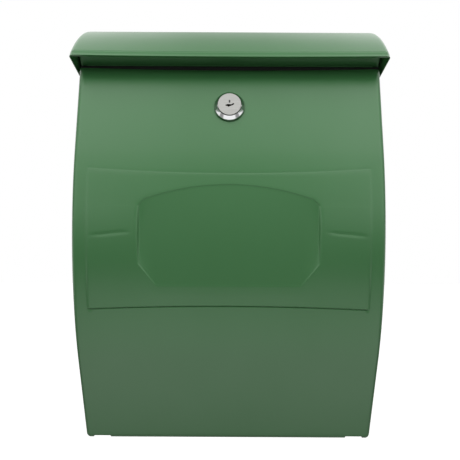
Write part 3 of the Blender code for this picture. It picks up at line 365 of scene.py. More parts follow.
def finish(build):
    """The material that a function below sets up, made the first time it is asked for."""
    made = bpy.data.materials.get(build.__name__)
    if not made:
        made = bpy.data.materials.new(build.__name__)
        made.use_nodes = True
        tree = made.node_tree
        tree.nodes.clear()
        place = node(tree, "ShaderNodeTexCoord").outputs["Object"]
        shader = node(tree, "ShaderNodeBsdfPrincipled", build(tree, place, bpy.context.scene.mailbox_colours))
        node(tree, "ShaderNodeOutputMaterial", {"Surface": shader})
    return made


def surface(tree, vector, scale, detail, rough, bump, deep):
    """A noise, a roughness between two values and a bump of so many millimetres, which both follow it."""
    noise = node(tree, "ShaderNodeTexNoise", {"Vector": vector, "Scale": scale, "Detail": detail})
    gloss = node(tree, "ShaderNodeMapRange", {0: noise, 1: 0.3, 2: 0.7, 3: rough[0], 4: rough[1]})
    relief = node(tree, "ShaderNodeBump", {"Height": noise, "Strength": bump, "Distance": deep * MM})
    return noise, gloss, relief


def moulded_polypropylene(tree, place, colours):
    """Satin moulded polypropylene: a faint orange peel, slow changes of gloss, and paler flow marks."""
    upright = node(tree, "ShaderNodeMapping", {"Vector": place, "Scale": (1.0, 1.0, 0.45)})
    flow = node(tree, "ShaderNodeTexNoise", {"Vector": upright, "Scale": per(90), "Detail": 3.0})
    share = node(tree, "ShaderNodeMapRange", {0: flow, 1: 0.15, 2: 0.85, 3: 0.0, 4: 1.0})
    tones = {0: share, 6: opaque(colours.plastic), 7: opaque(colours.plastic_pale)}
    mixed = node(tree, "ShaderNodeMix", tones, data_type="RGBA").outputs[2]
    rough = node(tree, "ShaderNodeMapRange", {0: flow, 1: 0.0, 2: 1.0, 3: 0.36, 4: 0.24})
    grain = node(tree, "ShaderNodeTexNoise", {"Vector": place, "Scale": per(3.2), "Detail": 1.0})
    peel = node(tree, "ShaderNodeBump", {"Height": grain, "Strength": 0.3, "Distance": 0.03 * MM})
    return {"Base Color": mixed, "Roughness": rough, "Normal": peel, "IOR": 1.49}


def polished_chrome_plate(tree, place, colours):
    """Chrome plate on a die casting: a mirror with a few handling scratches too fine to see one by one."""
    _, rough, ripple = surface(tree, place, per(3), detail=4.0, rough=(0.05, 0.13), bump=0.3, deep=0.02)
    return {"Base Color": opaque(colours.chrome), "Metallic": 1.0, "Roughness": rough, "Normal": ripple}


def brushed_nickel(tree, place, colours):
    """Nickel brushed across: real scratches are 0.05 mm apart, drawn as 0.6 mm so that they show."""
    across = node(tree, "ShaderNodeMapping", {"Vector": place, "Scale": (per(14), per(0.6), per(0.6))})
    strokes, rough, groove = surface(tree, across, 1.0, detail=3.0, rough=(0.3, 0.46), bump=0.6, deep=0.03)
    tones = {0: strokes, 6: opaque(colours.nickel, 0.72), 7: opaque(colours.nickel, 1.25)}
    mixed = node(tree, "ShaderNodeMix", tones, data_type="RGBA").outputs[2]
    return {"Base Color": mixed, "Metallic": 1.0, "Roughness": rough, "Normal": groove}


def zinc_plated_steel(tree, place, colours):
    """Zinc plate: dull bright steel with a slightly cloudy passivated film."""
    cloud, rough, pitted = surface(tree, place, per(4), detail=4.0, rough=(0.28, 0.42), bump=0.3, deep=0.03)
    share = node(tree, "ShaderNodeMapRange", {0: cloud, 1: 0.35, 2: 0.7, 3: 0.0, 4: 1.0})
    tones = {0: share, 6: opaque(colours.zinc), 7: opaque(colours.zinc, 0.78)}
    mixed = node(tree, "ShaderNodeMix", tones, data_type="RGBA").outputs[2]
    return {"Base Color": mixed, "Metallic": 1.0, "Roughness": rough, "Normal": pitted}


def stamped_brass(tree, place, colours):
    """Brass strip: rolled lines along it and a warm, slightly dull shine."""
    across = node(tree, "ShaderNodeMapping", {"Vector": place, "Scale": (per(6), per(0.4), per(0.4))})
    _, rough, groove = surface(tree, across, 1.0, detail=2.0, rough=(0.24, 0.36), bump=0.4, deep=0.01)
    return {"Base Color": opaque(colours.brass), "Metallic": 1.0, "Roughness": rough, "Normal": groove}


# On the rail's strip this black is also painted shade for the gap above the door's top edge.
def moulded_rubber(tree, place, colours):
    """Black rubber: matt, with a fine spark-eroded grain."""
    _, rough, skin = surface(tree, place, per(0.5), detail=2.0, rough=(0.7, 0.85), bump=0.5, deep=0.04)
    return {"Base Color": opaque(colours.rubber), "Roughness": rough, "Normal": skin, "IOR": 1.52}


def oiled_keyway_painted_shade(tree, place, colours):
    """The keyway's walls: brass gone dark under old oil, and darker still as painted shade for the deep narrow slot,
    with a smeared shine.
    """
    _, rough, film = surface(tree, place, per(1), detail=2.0, rough=(0.4, 0.6), bump=0.4, deep=0.02)
    return {"Base Color": opaque(colours.keyway), "Metallic": 1.0, "Roughness": rough, "Normal": film}


def filled_paint(tree, place, colours):
    """Black enamel filled into a stamped mark: glossy, with a slightly wavy skin."""
    wave = node(tree, "ShaderNodeTexNoise", {"Vector": place, "Scale": per(0.8), "Detail": 1.0})
    skin = node(tree, "ShaderNodeBump", {"Height": wave, "Strength": 0.4, "Distance": 0.02 * MM})
    return {"Base Color": opaque(colours.paint), "Roughness": 0.3, "Normal": skin}


SLOT_FINISHES = {
    "green_plastic": moulded_polypropylene,
    "bright_chrome": polished_chrome_plate,
    "brass": stamped_brass,
    "rubber": moulded_rubber,
    "zinc_steel": zinc_plated_steel,
}


CRISP = math.radians(32)  # edges that turn more than this stay sharp to the eye


def finished(obj, slot):
    """Gives a new piece the finish of a slot, smooth faces and crisp edges."""
    obj.data.materials.clear()
    obj.data.materials.append(finish(SLOT_FINISHES[slot]))
    obj.data.shade_smooth()
    obj.data.set_sharp_from_angle(angle=CRISP)
    return obj


STEEL_EDGE = 0.12 * MM  # rounding of the steel pieces' edges


def dressed(name, slot, round_edges=0.0):
    """Gives a piece of the packed model the finish of a slot, and softens its edges to the eye."""
    obj = frame["nodes"][name]
    for held in obj.material_slots:
        held.material = finish(SLOT_FINISHES[slot])
    obj.modifiers.new("weld", "WELD").merge_threshold = 0.001 * MM
    if round_edges:
        bevel = obj.modifiers.new("edges", "BEVEL")
        bevel.width, bevel.segments = round_edges, 2
        bevel.limit_method, bevel.angle_limit = "ANGLE", math.radians(35)
    obj.modifiers.new("normals", "WEIGHTED_NORMAL").keep_sharp = True


# ---- Meshes ----


@contextmanager
def edited(mesh):
    """Opens a mesh for editing, and writes the edits back to it."""
    bm = bmesh.new()
    bm.from_mesh(mesh)
    yield bm
    bm.to_mesh(mesh)
    bm.free()


def linked(name, data):
    """A new object in the scene."""
    obj = bpy.data.objects.new(name, data)
    bpy.context.scene.collection.objects.link(obj)
    return obj


def shown(name, points, faces):
    """A closed mesh object: doubles merged and faces turned outwards."""
    mesh = bpy.data.meshes.new(name)
    mesh.from_pydata([tuple(p) for p in points], [], faces)
    with edited(mesh) as bm:
        bmesh.ops.remove_doubles(bm, verts=bm.verts, dist=TOUCHING)
        bmesh.ops.dissolve_degenerate(bm, edges=bm.edges, dist=TOUCHING)
        bmesh.ops.recalc_face_normals(bm, faces=bm.faces)
    return linked(name, mesh)


def extruded(name, outline, run):
    """A flat outline of 3-D points, run along a vector."""
    count = len(outline)
    points = [Vector(p) for p in outline] + [Vector(p) + Vector(run) for p in outline]
    faces = [tuple(range(count)), tuple(range(2 * count - 1, count - 1, -1))]
    faces += [(k, (k + 1) % count, count + (k + 1) % count, count + k) for k in range(count)]
    return shown(name, points, faces)


def prism(name, outline, x_low, x_high):
    """An outline in side view, run along X."""
    return extruded(name, [(x_low, y, z) for y, z in outline], (x_high - x_low, 0, 0))


def arc(centre, radius, start, end, steps):
    """Points of an arc, both ends included. Angles are in radians."""
    angles = np.linspace(start, end, steps + 1)
    return [(centre[0] + radius * math.cos(a), centre[1] + radius * math.sin(a)) for a in angles]


def circle(centre, radius, steps=64):
    """Points of a whole circle."""
    return arc(centre, radius, 0, 2 * math.pi, steps)[:-1]


def beside(side, near, far):
    """The ends, in order, of a run between two distances from the middle. The side is -1 or 1."""
    return sorted((side * near, side * far))


def combined(base, adds=(), cuts=()):
    """The base with shapes joined on and then cut away."""
    for kind, tools in (("UNION", adds), ("DIFFERENCE", cuts)):
        for tool in tools:
            step = base.modifiers.new(kind, "BOOLEAN")
            step.operation, step.solver, step.object = kind, "EXACT", tool
            applied(base)
            bpy.data.objects.remove(tool)
    return base


def merged(base, others):
    """One object out of several, each of which stays its own closed shape."""
    with edited(base.data) as bm:
        for obj in others:
            bm.from_mesh(obj.data)
            bpy.data.objects.remove(obj)
    return base


def ringed(name, rings, closed=True):
    """Rings of points, each joined to the next and the last to the first. Open ones are capped at both ends."""
    count, total = len(rings[0]), len(rings)
    faces = []
    for k in range(total):
        here, there = k * count, (k + 1) % total * count
        for j in range(count if closed else count - 1):
            after = (j + 1) % count
            faces.append((here + j, there + j, there + after, here + after))
    if not closed:
        faces += [tuple(range(end, total * count, count)) for end in (0, count - 1)]
    return shown(name, [point for ring in rings for point in ring], faces)


def turned(name, profile, steps=128):
    """A closed profile of (radius, height) points, turned about Z."""
    angles = np.linspace(0, 2 * math.pi, steps, endpoint=False)
    return ringed(name, [[(r * math.cos(a), r * math.sin(a), h) for r, h in profile] for a in angles])


def lock_matrix():
    """From the lock's own axes, Z out of the door, to the mailbox."""
    joint = JOINTS["lock_turn"]
    out = Vector(joint["axis"]).normalized()
    right = Vector((1, 0, 0))
    turn = Matrix([[axis[row] for axis in (right, out.cross(right), out)] for row in range(3)]).to_4x4()
    return Matrix.Translation(joint["pos_m"]) @ turn


def on_lock(obj):
    """Moves what was made about the lock's own axes to its place."""
    obj.data.transform(lock_matrix())
    return obj


# ---- Door ----


class Bow:
    """The front in side view: stations run up it, and depth runs in from it."""

    def __init__(self, front):
        self.front = front
        self.stations = np.linspace(-0.3, 0.3, 6001)
        self.half = DOOR_HIGH.x
        self.top = self.station_at(front.door_top)
        self.hinge = self.station_at(DOOR_AXIS.z, front.curl_radius)
        self.end = self.hinge - front.curl_radius * front.curl_turn

    def point(self, station, depth=0.0):
        """Y and Z of a station, so deep in from the front."""
        front = self.front
        radius = np.where(np.asarray(station) > 0, front.upper_radius, front.lower_radius)
        turn = np.clip(station / radius, -front.lower_lean, front.upper_lean)
        along = station - radius * turn
        y = radius - front.bow_depth + (depth - radius) * np.cos(turn) + along * np.sin(turn)
        return y, along * np.cos(turn) - (depth - radius) * np.sin(turn)

    def station_at(self, height, depth=0.0):
        """The station of a height."""
        return np.interp(height, self.point(self.stations, depth)[1], self.stations)


def smooth(share):
    """Eases a share in at 0 and out at 1."""
    share = np.clip(share, 0, 1)
    return share * share * (3 - 2 * share)


def graded(stops, steps):
    """Values from the first stop to the last, in so many steps from each stop to the next."""
    parts = [np.linspace(a, b, n, endpoint=False) for a, b, n in zip(stops, stops[1:], steps)]
    return np.concatenate([*parts, stops[-1:]])


def wall_path(half, face, radius, columns):
    """One face of the door's wall, seen from above: X, depth, share along its flange, and outward normals."""
    flange = np.linspace(1, 0, 7)[:-1]
    turns = np.linspace(0, math.pi / 2, 9)
    middle = columns[::-1] * (half - radius)
    x = np.concatenate([half + 0 * flange, half - radius + radius * np.cos(turns)])
    depth = np.concatenate([face + radius + 0 * flange, face + radius - radius * np.sin(turns)])
    share = np.concatenate([flange, 0 * turns])
    normal = np.concatenate([np.tile([1.0, 0.0], (len(flange), 1)), np.stack([np.cos(turns), -np.sin(turns)], 1)])
    x = np.concatenate([x, middle, -x[::-1]])
    depth = np.concatenate([depth, face + 0 * middle, depth[::-1]])
    share = np.concatenate([share, 0 * middle, share[::-1]])
    normal = np.concatenate([normal, np.tile([0.0, -1.0], (len(middle), 1)), normal[::-1] * [-1, 1]])
    return x, depth, share, normal


COLUMN_STEPS = (26, 7, 6, 5, 16, 7, 4)


def relief_columns(front, relief, half):
    """Where the panel's columns stand, as shares of its flat half width: closer where the relief turns."""
    flat = half - front.edge_radius
    recess, belt = relief.recess_half, half - relief.belt_margin
    stops = [0, recess - relief.recess_chamfer, recess - relief.recess_corner, recess - relief.recess_slope]
    stops += [recess, belt - relief.belt_side_ramp, belt, flat]
    right = graded(np.array(stops), COLUMN_STEPS) / flat
    return np.concatenate([-right[:0:-1], right])[1:-1]


def relief_lines(relief, bow, x):
    """The stations, at each X, of the lines that the panel's rows follow, from its foot to its top."""
    reach = np.abs(x)
    share = np.minimum(reach / (bow.half - relief.belt_margin), 1) ** 2
    low = bow.station_at(relief.belt_bottom - relief.belt_bottom_arch * share)
    high = bow.station_at(relief.belt_top + relief.belt_top_rise * share)
    shoulder = relief.recess_half - relief.recess_corner
    rise = relief.recess_top - relief.recess_shoulder
    crown = bow.station_at(relief.recess_shoulder + rise * (1 - np.minimum(reach / shoulder, 1) ** 2))
    crown = crown - np.clip(reach - shoulder, 0, relief.recess_corner)
    chamfer = np.clip((reach - relief.recess_half) / relief.recess_chamfer + 1, 0, 1)
    side, bottom = bow.station_at(relief.recess_side), bow.station_at(relief.recess_bottom)
    sill = bottom + (side - bottom) * chamfer
    lines = [bow.end, bow.hinge, low - relief.shut_line, low, low + relief.belt_bottom_ramp]
    lines += [sill, sill + relief.recess_slope, crown - 0.5 * relief.recess_slope, crown]
    lines += [high - relief.belt_top_ramp, high, bow.top - relief.top_gap]
    return [line + 0 * x for line in lines]


# How many rows lie between each of those lines and the next, and which of these bands slope or sink.
ROW_STEPS = (14, 46, 8, 6, 9, 5, 60, 5, 6, 9, 38)
ROLL, SHUT, BELT_FOOT, SILL, CROWN, BELT_HEAD = 0, 2, 3, 5, 7, 9


def ridge(x, height, ends, slope, width):
    """A faint moulding ridge between two distances from the middle, fading out at both."""
    reach = (np.abs(x) - ends[0]) / (ends[1] - ends[0])
    line = ends[2] + slope * reach
    return smooth(reach * 5) * smooth((1 - reach) * 3) * np.exp(-(((height - line) / width) ** 2))


def door_rows(relief, bow, x):
    """For each row: its stations, the heights of belt, recess and groove in it, and whether it is in the roll."""
    lines = relief_lines(relief, bow, x)
    last = sum(ROW_STEPS[BELT_FOOT : BELT_HEAD + 1])
    rows, climbed = [], 0
    for k, steps in enumerate(ROW_STEPS):
        for t in np.linspace(0, 1, steps + 1)[(0 if k < 2 else 1) :]:
            station = lines[k] + t * (lines[k + 1] - lines[k])
            climbed += BELT_FOOT <= k <= BELT_HEAD
            belt = float(BELT_FOOT < k < BELT_HEAD) + t * (k == BELT_FOOT) + (1 - t) * (k == BELT_HEAD)
            draft = t * (k == BELT_FOOT) + max(0, 1 - 1.6 * t) * (k == BELT_FOOT + 1)
            belt = smooth(belt) * relief.belt_rise * (1 - climbed / last) - relief.belt_draft * draft
            up = (station - lines[SILL]) / (lines[CROWN + 1] - lines[SILL])
            deep = relief.recess_depth * (0.15 + 0.85 * up) + relief.recess_bulge * 4 * up * (1 - up)
            recess = float(SILL < k < CROWN) + t * (k == SILL) + (1 - t) * (k == CROWN)
            cut = {SHUT: relief.shut_depth, BELT_HEAD: relief.belt_crease}.get(k, 0.0)
            groove = cut * (math.sin(math.pi * t) ** 2 if k == SHUT else min(t / 0.3, (1 - t) / 0.7))
            rows.append((station, belt, recess, deep, groove, k == ROLL))
    return rows


def door_wall(front, relief, bow):
    """The door's bowed wall with its flanges, drawn flat: X, depth, station."""
    columns = relief_columns(front, relief, bow.half)
    outer = wall_path(bow.half, 0.0, front.edge_radius, columns)
    inner = wall_path(bow.half - front.wall, front.wall, front.inner_radius, columns)
    x, radius = outer[0], front.edge_radius
    flat = np.abs(x) < bow.half - radius
    belt_in = smooth((bow.half - relief.belt_margin - np.abs(x)) / relief.belt_side_ramp)
    recess_in = (relief.recess_half - np.abs(x)) / relief.recess_slope
    curl = 2 * front.curl_radius
    shoulder = bow.half - radius + math.sqrt(radius**2 - (radius - front.wall) ** 2)
    flow_ends, flow_slope, flow_width = (93 * MM, 134 * MM, -0.8 * MM), -4.2 * MM, 1.5 * MM
    grids = []
    for station, belt, recess, deepest, groove, rolled in door_rows(relief, bow, x):
        rim = np.minimum(front.rim_depth, curl + (front.rim_depth - curl) * (station - bow.hinge) / front.rim_taper)
        sunk = deepest * smooth(np.minimum(recess, recess_in))
        flow = relief.flow_line * ridge(x, bow.point(station)[1], flow_ends, flow_slope, flow_width)
        rise = (belt - groove) * belt_in - sunk - flow
        layers = []
        for path_x, depth, share, normal in (outer, inner):
            deep = depth + share * (rim - depth[0])
            if rolled:
                deep = np.minimum(deep, front.wall)
                path_x = np.clip(path_x, -shoulder, shoulder)
            layers.append([path_x, deep, station, normal])
        layers[0][1] = layers[0][1] - np.where(flat, rise, 0)
        layers[1][1] = layers[1][1] + np.where(flat, sunk, 0)
        grids.append(layers)
    return closed_wall(rounded_ends(grids, front.lip_round))


def rounded_ends(grids, radius):
    """Rounds the wall's top edge over its last rows."""
    top = grids.pop()
    for turn in np.linspace(0, math.pi / 2, 5):
        inset, drop = radius * (1 - math.cos(turn)), radius * (1 - math.sin(turn))
        layers = []
        for way, (x, depth, station, normal) in zip((-1, 1), top):
            layers.append([x + way * inset * normal[:, 0], depth + way * inset * normal[:, 1], station - drop, normal])
        grids.append(layers)
    return grids


def closed_wall(grids):
    """Points and faces of a wall with an outer and an inner face and four edges."""
    count = len(grids[0][0][0])
    points = [np.stack([x, depth, station], 1) for layers in grids for x, depth, station, _ in layers]
    loop = [*range(count), *range(2 * count - 1, count - 1, -1)]
    faces = []
    for k in range(len(grids) - 1):
        here, there = 2 * k * count, 2 * (k + 1) * count
        faces += [(here + a, here + b, there + b, there + a) for a, b in zip(loop, loop[1:] + loop[:1])]
    for start in (0, 2 * (len(grids) - 1) * count):
        faces += [(start + i, start + i + 1, start + count + i + 1, start + count + i) for i in range(count - 1)]
    return np.concatenate(points), faces


BOW_SIZES = ("Bow Depth", "Upper Radius", "Upper Lean", "Lower Radius", "Lower Lean", "Curl Radius")
BOW_SIZES += ("Top Sag", "Sag Height")
BOW_PLACES = ("Hinge Station", "Hinge Y", "Hinge Z", "Top Station", "Half Width")
BOW_STEPS = (
    ("across", "DIVIDE", "X", "Half Width"),
    ("across2", "MULTIPLY", "across", "across"),
    ("dip", "SUBTRACT", 1.0, "across2"),
    ("below top", "SUBTRACT", "Z", "Top Station"),
    ("fade", "DIVIDE", "below top", "Sag Height"),
    ("fade1", "ADD", "fade", 1.0),
    ("fade2", "MINIMUM", "fade1", 1.0),
    ("fade3", "MAXIMUM", "fade2", 0.0),
    ("sag", "MULTIPLY", "dip", "fade3"),
    ("sag2", "MULTIPLY", "sag", "Top Sag"),
    ("station", "SUBTRACT", "Z", "sag2"),
    ("upper", "GREATER_THAN", "station", 0.0),
    ("wider", "SUBTRACT", "Upper Radius", "Lower Radius"),
    ("radius", "MULTIPLY_ADD", "upper", "wider", "Lower Radius"),
    ("turn", "DIVIDE", "station", "radius"),
    ("turn1", "MINIMUM", "turn", "Upper Lean"),
    ("lowest", "MULTIPLY", "Lower Lean", -1.0),
    ("turn2", "MAXIMUM", "turn1", "lowest"),
    ("followed", "MULTIPLY", "radius", "turn2"),
    ("along", "SUBTRACT", "station", "followed"),
    ("reach", "SUBTRACT", "Y", "radius"),
    ("cos", "COSINE", "turn2"),
    ("sin", "SINE", "turn2"),
    ("centre", "SUBTRACT", "radius", "Bow Depth"),
    ("y1", "MULTIPLY_ADD", "reach", "cos", "centre"),
    ("bow y", "MULTIPLY_ADD", "along", "sin", "y1"),
    ("z1", "MULTIPLY", "reach", "sin"),
    ("z2", "MULTIPLY", "along", "cos"),
    ("bow z", "SUBTRACT", "z2", "z1"),
    ("below hinge", "SUBTRACT", "Hinge Station", "station"),
    ("rolled", "DIVIDE", "below hinge", "Curl Radius"),
    ("rolled1", "ADD", "rolled", "Lower Lean"),
    ("arm", "SUBTRACT", "Y", "Curl Radius"),
    ("roll cos", "COSINE", "rolled1"),
    ("roll sin", "SINE", "rolled1"),
    ("roll y", "MULTIPLY_ADD", "arm", "roll cos", "Hinge Y"),
    ("roll z", "MULTIPLY_ADD", "arm", "roll sin", "Hinge Z"),
    ("curled", "GREATER_THAN", "below hinge", 0.0),
    ("dy", "SUBTRACT", "roll y", "bow y"),
    ("dz", "SUBTRACT", "roll z", "bow z"),
    ("new y", "MULTIPLY_ADD", "curled", "dy", "bow y"),
    ("new z", "MULTIPLY_ADD", "curled", "dz", "bow z"),
)


def bow_tree():
    """Bends a panel drawn flat, as X, depth and station, to the front's bow and the roll round its hinge."""
    tree, known = node_tree("bow", (*BOW_SIZES, *BOW_PLACES))
    flat = node(tree, "ShaderNodeSeparateXYZ", {0: node(tree, "GeometryNodeInputPosition")}).outputs
    known.update(flat.items())
    formula(tree, "ShaderNodeMath", known, BOW_STEPS)
    place = node(tree, "ShaderNodeCombineXYZ", {"X": known["X"], "Y": known["new y"], "Z": known["new z"]})
    moved = node(tree, "GeometryNodeSetPosition", {"Geometry": known["Geometry"], "Position": place})
    return ended(tree, known, moved)


def bent(panel, bow):
    """A panel drawn flat, bent to the front."""
    values = {name: getattr(bow.front, name.lower().replace(" ", "_")) for name in BOW_SIZES}
    places = (float(bow.hinge), DOOR_AXIS.y, DOOR_AXIS.z, float(bow.top), bow.half)
    values.update(zip(BOW_PLACES, places), Material=finish(moulded_polypropylene))
    return modelled(panel, bow_tree(), values)


def around_hinge(radius, start, end, steps):
    """An arc in side view about the door's axis, between two angles in degrees."""
    return arc((DOOR_AXIS.y, DOOR_AXIS.z), radius, math.radians(start), math.radians(end), steps)


def flange_foot(bow, side):
    """The round foot of a flange, rounded in front like the door's edge."""
    front, steps = bow.front, 120
    inner, outer = bow.half - front.wall - 0.6 * MM, bow.half - 0.02 * MM
    turns = np.linspace(0, math.pi / 2, 9)[1:]
    rings = []
    for k in range(steps):
        way = front.lower_lean + 2 * math.pi * (k + 0.5) / steps
        in_front = steps / 4 <= k <= steps * 0.69
        fillet = front.edge_radius if in_front else 0.2 * MM
        radius = front.curl_radius - (0.25 * MM if in_front else 0)
        ring = [(inner, radius - fillet * (1 - math.cos(turns[0])))]
        ring += [(outer - fillet * (1 - math.sin(t)), radius - fillet * (1 - math.cos(t))) for t in turns]
        ring += [(outer, 0.5 * (radius - fillet))]
        y, z = math.cos(way), math.sin(way)
        rings.append([(side * x, DOOR_AXIS.y + reach * y, DOOR_AXIS.z + reach * z) for x, reach in ring])
    return ringed("flange_foot", rings, closed=False)


def corner_cutter(bow, side):
    """Rounds a bottom corner of the door in front view."""
    low, radius = DOOR_AXIS.z - bow.front.curl_radius, bow.front.corner_radius
    x, z = bow.half - radius, low + radius
    outline = [(x, low - MM)] + arc((x, z), radius, 1.5 * math.pi, 2 * math.pi, 16)
    outline += [(bow.half + MM, z), (bow.half + MM, low - MM)]
    return extruded("corner", [(side * u, -0.1, w) for u, w in outline], (0, 0.1, 0))


def knuckle(bow, side, end):
    """A hinge barrel on a web out of the panel."""
    front, half = bow.front, 4 * MM
    root = front.wall - 0.6 * MM
    spread = math.degrees(math.asin(half / front.knuckle_radius))
    outward = 180 + math.degrees(front.lower_lean)
    wall = [tuple(float(v) for v in bow.point(bow.hinge + rise, root)) for rise in (half, -half)]
    outline = wall + around_hinge(front.knuckle_radius, outward + spread, outward + 360 - spread, 48)
    left, right = beside(side, end - front.knuckle_length, end)
    bore = prism("bore", around_hinge(2.3 * MM, 0, 360, 48)[:-1], left - MM, right + MM)
    return combined(prism("knuckle", outline, left, right), cuts=[bore])


def lock_hole(lock):
    """What cuts the round hole with two flats for the lock."""
    gap, behind, through = 0.3 * MM, -15 * MM, 20 * MM
    radius = lock.body_radius + gap
    start = math.acos((lock.body_flat + gap) / radius)
    sides = (start, math.pi - start), (math.pi + start, 2 * math.pi - start)
    outline = [(u, v, behind) for low, high in sides for u, v in arc((0, 0), radius, low, high, 24)]
    return on_lock(extruded("hole", outline, (0, 0, through)))


class MAILBOX_OT_door(bpy.types.Operator):
    """Make the bowed door with its belt, label recess, flanges and hinge barrels"""

    bl_idname = "mailbox.door"
    bl_label = "Door"

    def execute(self, context):
        front, relief = context.scene.mailbox_front, context.scene.mailbox_relief
        bow = Bow(front)
        door = bent(shown("door_front", *door_wall(front, relief, bow)), bow)
        ear_outer = bow.half - front.ear_margin
        ear_inner = ear_outer - front.ear_length
        notch = [(DOOR_AXIS.y, DOOR_AXIS.z), *around_hinge(front.curl_radius + 4 * MM, 222, 330, 8)]
        cuts, extras = [lock_hole(context.scene.mailbox_lock)], []
        for side in (-1, 1):
            gap = beside(side, ear_inner - front.swing_gap, ear_outer + front.swing_gap)
            cuts += [prism("notch", notch, *gap), corner_cutter(bow, side)]
            extras.append(combined(flange_foot(bow, side), cuts=[corner_cutter(bow, side)]))
            extras.append(knuckle(bow, side, ear_inner - front.swing_gap))
        door = merged(combined(door, cuts=cuts), extras)
        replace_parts(finished(door, "green_plastic"), "door_panel")
        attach(door, "door")
        return {"FINISHED"}


# ---- Lid ----


LIP_HEIGHT = 166.8 * MM  # of the lip's lower edge, and of the front end of the end caps' lower edges


def roof(lid):
    """Centre and radius of the roof's arc, and where it ends above the lid's axis."""
    back = Vector((-math.sin(lid.rear_slope), math.cos(lid.rear_slope)))
    end = Vector((LID_AXIS.y, LID_AXIS.z)) + back * lid.rear_radius
    hem = Vector((LID_LOW.y + lid.hem_depth, LIP_HEIGHT + lid.hem_height))
    chord = end - hem
    radius = chord.length_squared / (2 * chord.dot(back))
    return end - back * radius, radius, end.x


def roof_points(lid, inset, y_front):
    """The roof in side view, from a depth to its end, so far below its face."""
    centre, radius, y_rear = roof(lid)
    inner = radius - inset
    return arc(centre, inner, *[math.acos((y - centre.x) / inner) for y in (y_front, y_rear)], 48)


def rear_roll(radius, end):
    """The lid's rear in side view: an arc about its axis from straight above it."""
    return arc((LID_AXIS.y, LID_AXIS.z), radius, math.pi / 2, end, 20)


def lid_blank(lid, half):
    """The lid as a solid, rounded where the roof meets the end caps."""
    rear = LID_AXIS.y + lid.rear_radius
    fall = LIP_HEIGHT - (rear - LID_LOW.y) * lid.side_fall
    outline = [(LID_LOW.y, LIP_HEIGHT), *roof_points(lid, 0, LID_LOW.y + lid.hem_depth)]
    outline += [*rear_roll(lid.rear_radius, 0), (rear, fall)]
    blank = prism("lid_cover", outline, -half, half)
    with edited(blank.data) as bm:
        rim = []
        for edge in bm.edges:
            a, b = (v.co for v in edge.verts)
            if abs(a.x - b.x) < 1e-6 and max(a.z, b.z) > LIP_HEIGHT + MM and min(a.z, b.z) > fall + MM:
                rim.append(edge)
        bmesh.ops.bevel(bm, geom=rim, offset=lid.edge_radius, segments=8, profile=0.5, affect="EDGES")
    return blank


def lid_hollow(lid, wall, inner):
    """What is taken out between the end caps."""
    stop = LID_LOW.y + lid.hem_thickness
    deep, far = LID_LOW.z - 30 * MM, 20 * MM
    roll = rear_roll(lid.rear_radius - wall, lid.rear_end)
    hem_back = LID_LOW.y + lid.hem_depth + 1.2 * lid.hem_thickness
    outline = [(stop, deep), (stop, LIP_HEIGHT + lid.hem_step), *roof_points(lid, wall, hem_back)]
    return prism("hollow", [*outline, *roll, (far, roll[-1][1]), (far, deep)], -inner, inner)


def hem_grooves(lid, half):
    """The crease above the hem, and the shallow groove that leaves a bead along the lip."""
    crease = (lid.hem_height, 0.5 * MM, 0.5 * MM, 0.35 * MM)
    bead = (1.6 * MM, 0.6 * MM, 2.2 * MM, 0.5 * MM)
    proud, clear = 0.05 * MM, 2 * MM
    grooves = []
    for height, below, above, depth in (crease, bead):
        heights = (height - below, height, height + above)
        skin = [(LID_LOW.y + lid.hem_depth / lid.hem_height * h, LIP_HEIGHT + h) for h in heights]
        outline = [(y + move, z) for (y, z), move in zip(skin, (-proud, depth, -proud))]
        outline += [(y - clear, z) for y, z in (skin[2], skin[0])]
        grooves.append(prism("groove", outline, -half, half))
    return grooves


def thinned_ends(lid, half, inner):
    """What is taken off the end caps' inner lower edges, so that each ends in a thin lip."""
    start, stop = LID_LOW.y + lid.hem_thickness, LID_AXIS.y + lid.rear_radius + MM
    run = (0, stop - start, (start - stop) * lid.side_fall)
    low = LIP_HEIGHT - lid.hem_thickness * lid.side_fall
    over = MM * lid.end_thinned / (half - lid.end_lip - inner)
    section = [(inner - MM, low - over), (half - lid.end_lip + MM, low - over)]
    section.append((inner - MM, low + lid.end_thinned + over))
    return [extruded("thinning", [(side * x, start, z) for x, z in section], run) for side in (-1, 1)]


def sagged(obj, lid, half):
    """Lets the lid's front hang a little in its middle, as a long moulded edge does."""
    start, over = -75 * MM, 35 * MM
    with edited(obj.data) as bm:
        for x in np.arange(-144, 145, 12) * MM:  # cuts across the lid, so that its faces can bend there
            everything = bm.verts[:] + bm.edges[:] + bm.faces[:]
            bmesh.ops.bisect_plane(bm, geom=everything, plane_co=(x, 0, 0), plane_no=(1, 0, 0), dist=TOUCHING)
        for vert in bm.verts:
            forward = float(smooth((start - vert.co.y) / over))
            vert.co.z -= lid.lip_sag * forward * (1 - (vert.co.x / half) ** 2)
    return obj


class MAILBOX_OT_lid(bpy.types.Operator):
    """Make the rain lid with its end caps, hem and pivot bosses"""

    bl_idname = "mailbox.lid"
    bl_label = "Lid"

    def execute(self, context):
        lid, wall = context.scene.mailbox_lid, context.scene.mailbox_front.wall
        half = LID_HIGH.x
        inner = half - wall
        cuts = [lid_hollow(lid, wall, inner), *hem_grooves(lid, half + MM), *thinned_ends(lid, half, inner)]
        cover = sagged(combined(lid_blank(lid, half), cuts=cuts), lid, half)
        adds, cuts = [], []
        axis = (LID_AXIS.y, LID_AXIS.z)
        for side in (-1, 1):
            boss = beside(side, DOOR_HIGH.x + lid.gap, inner + 0.6 * MM)
            adds.append(prism("boss", circle(axis, lid.boss_radius), *boss))
            bore = beside(side, DOOR_HIGH.x, inner + lid.pin_depth)
            cuts.append(prism("bore", circle(axis, lid.pin_radius + lid.gap), *bore))
        cover = combined(cover, adds=adds, cuts=cuts)
        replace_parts(finished(cover, "green_plastic"), "lid_hood")
        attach(cover, "lid")
        return {"FINISHED"}


# ---- Housing ----


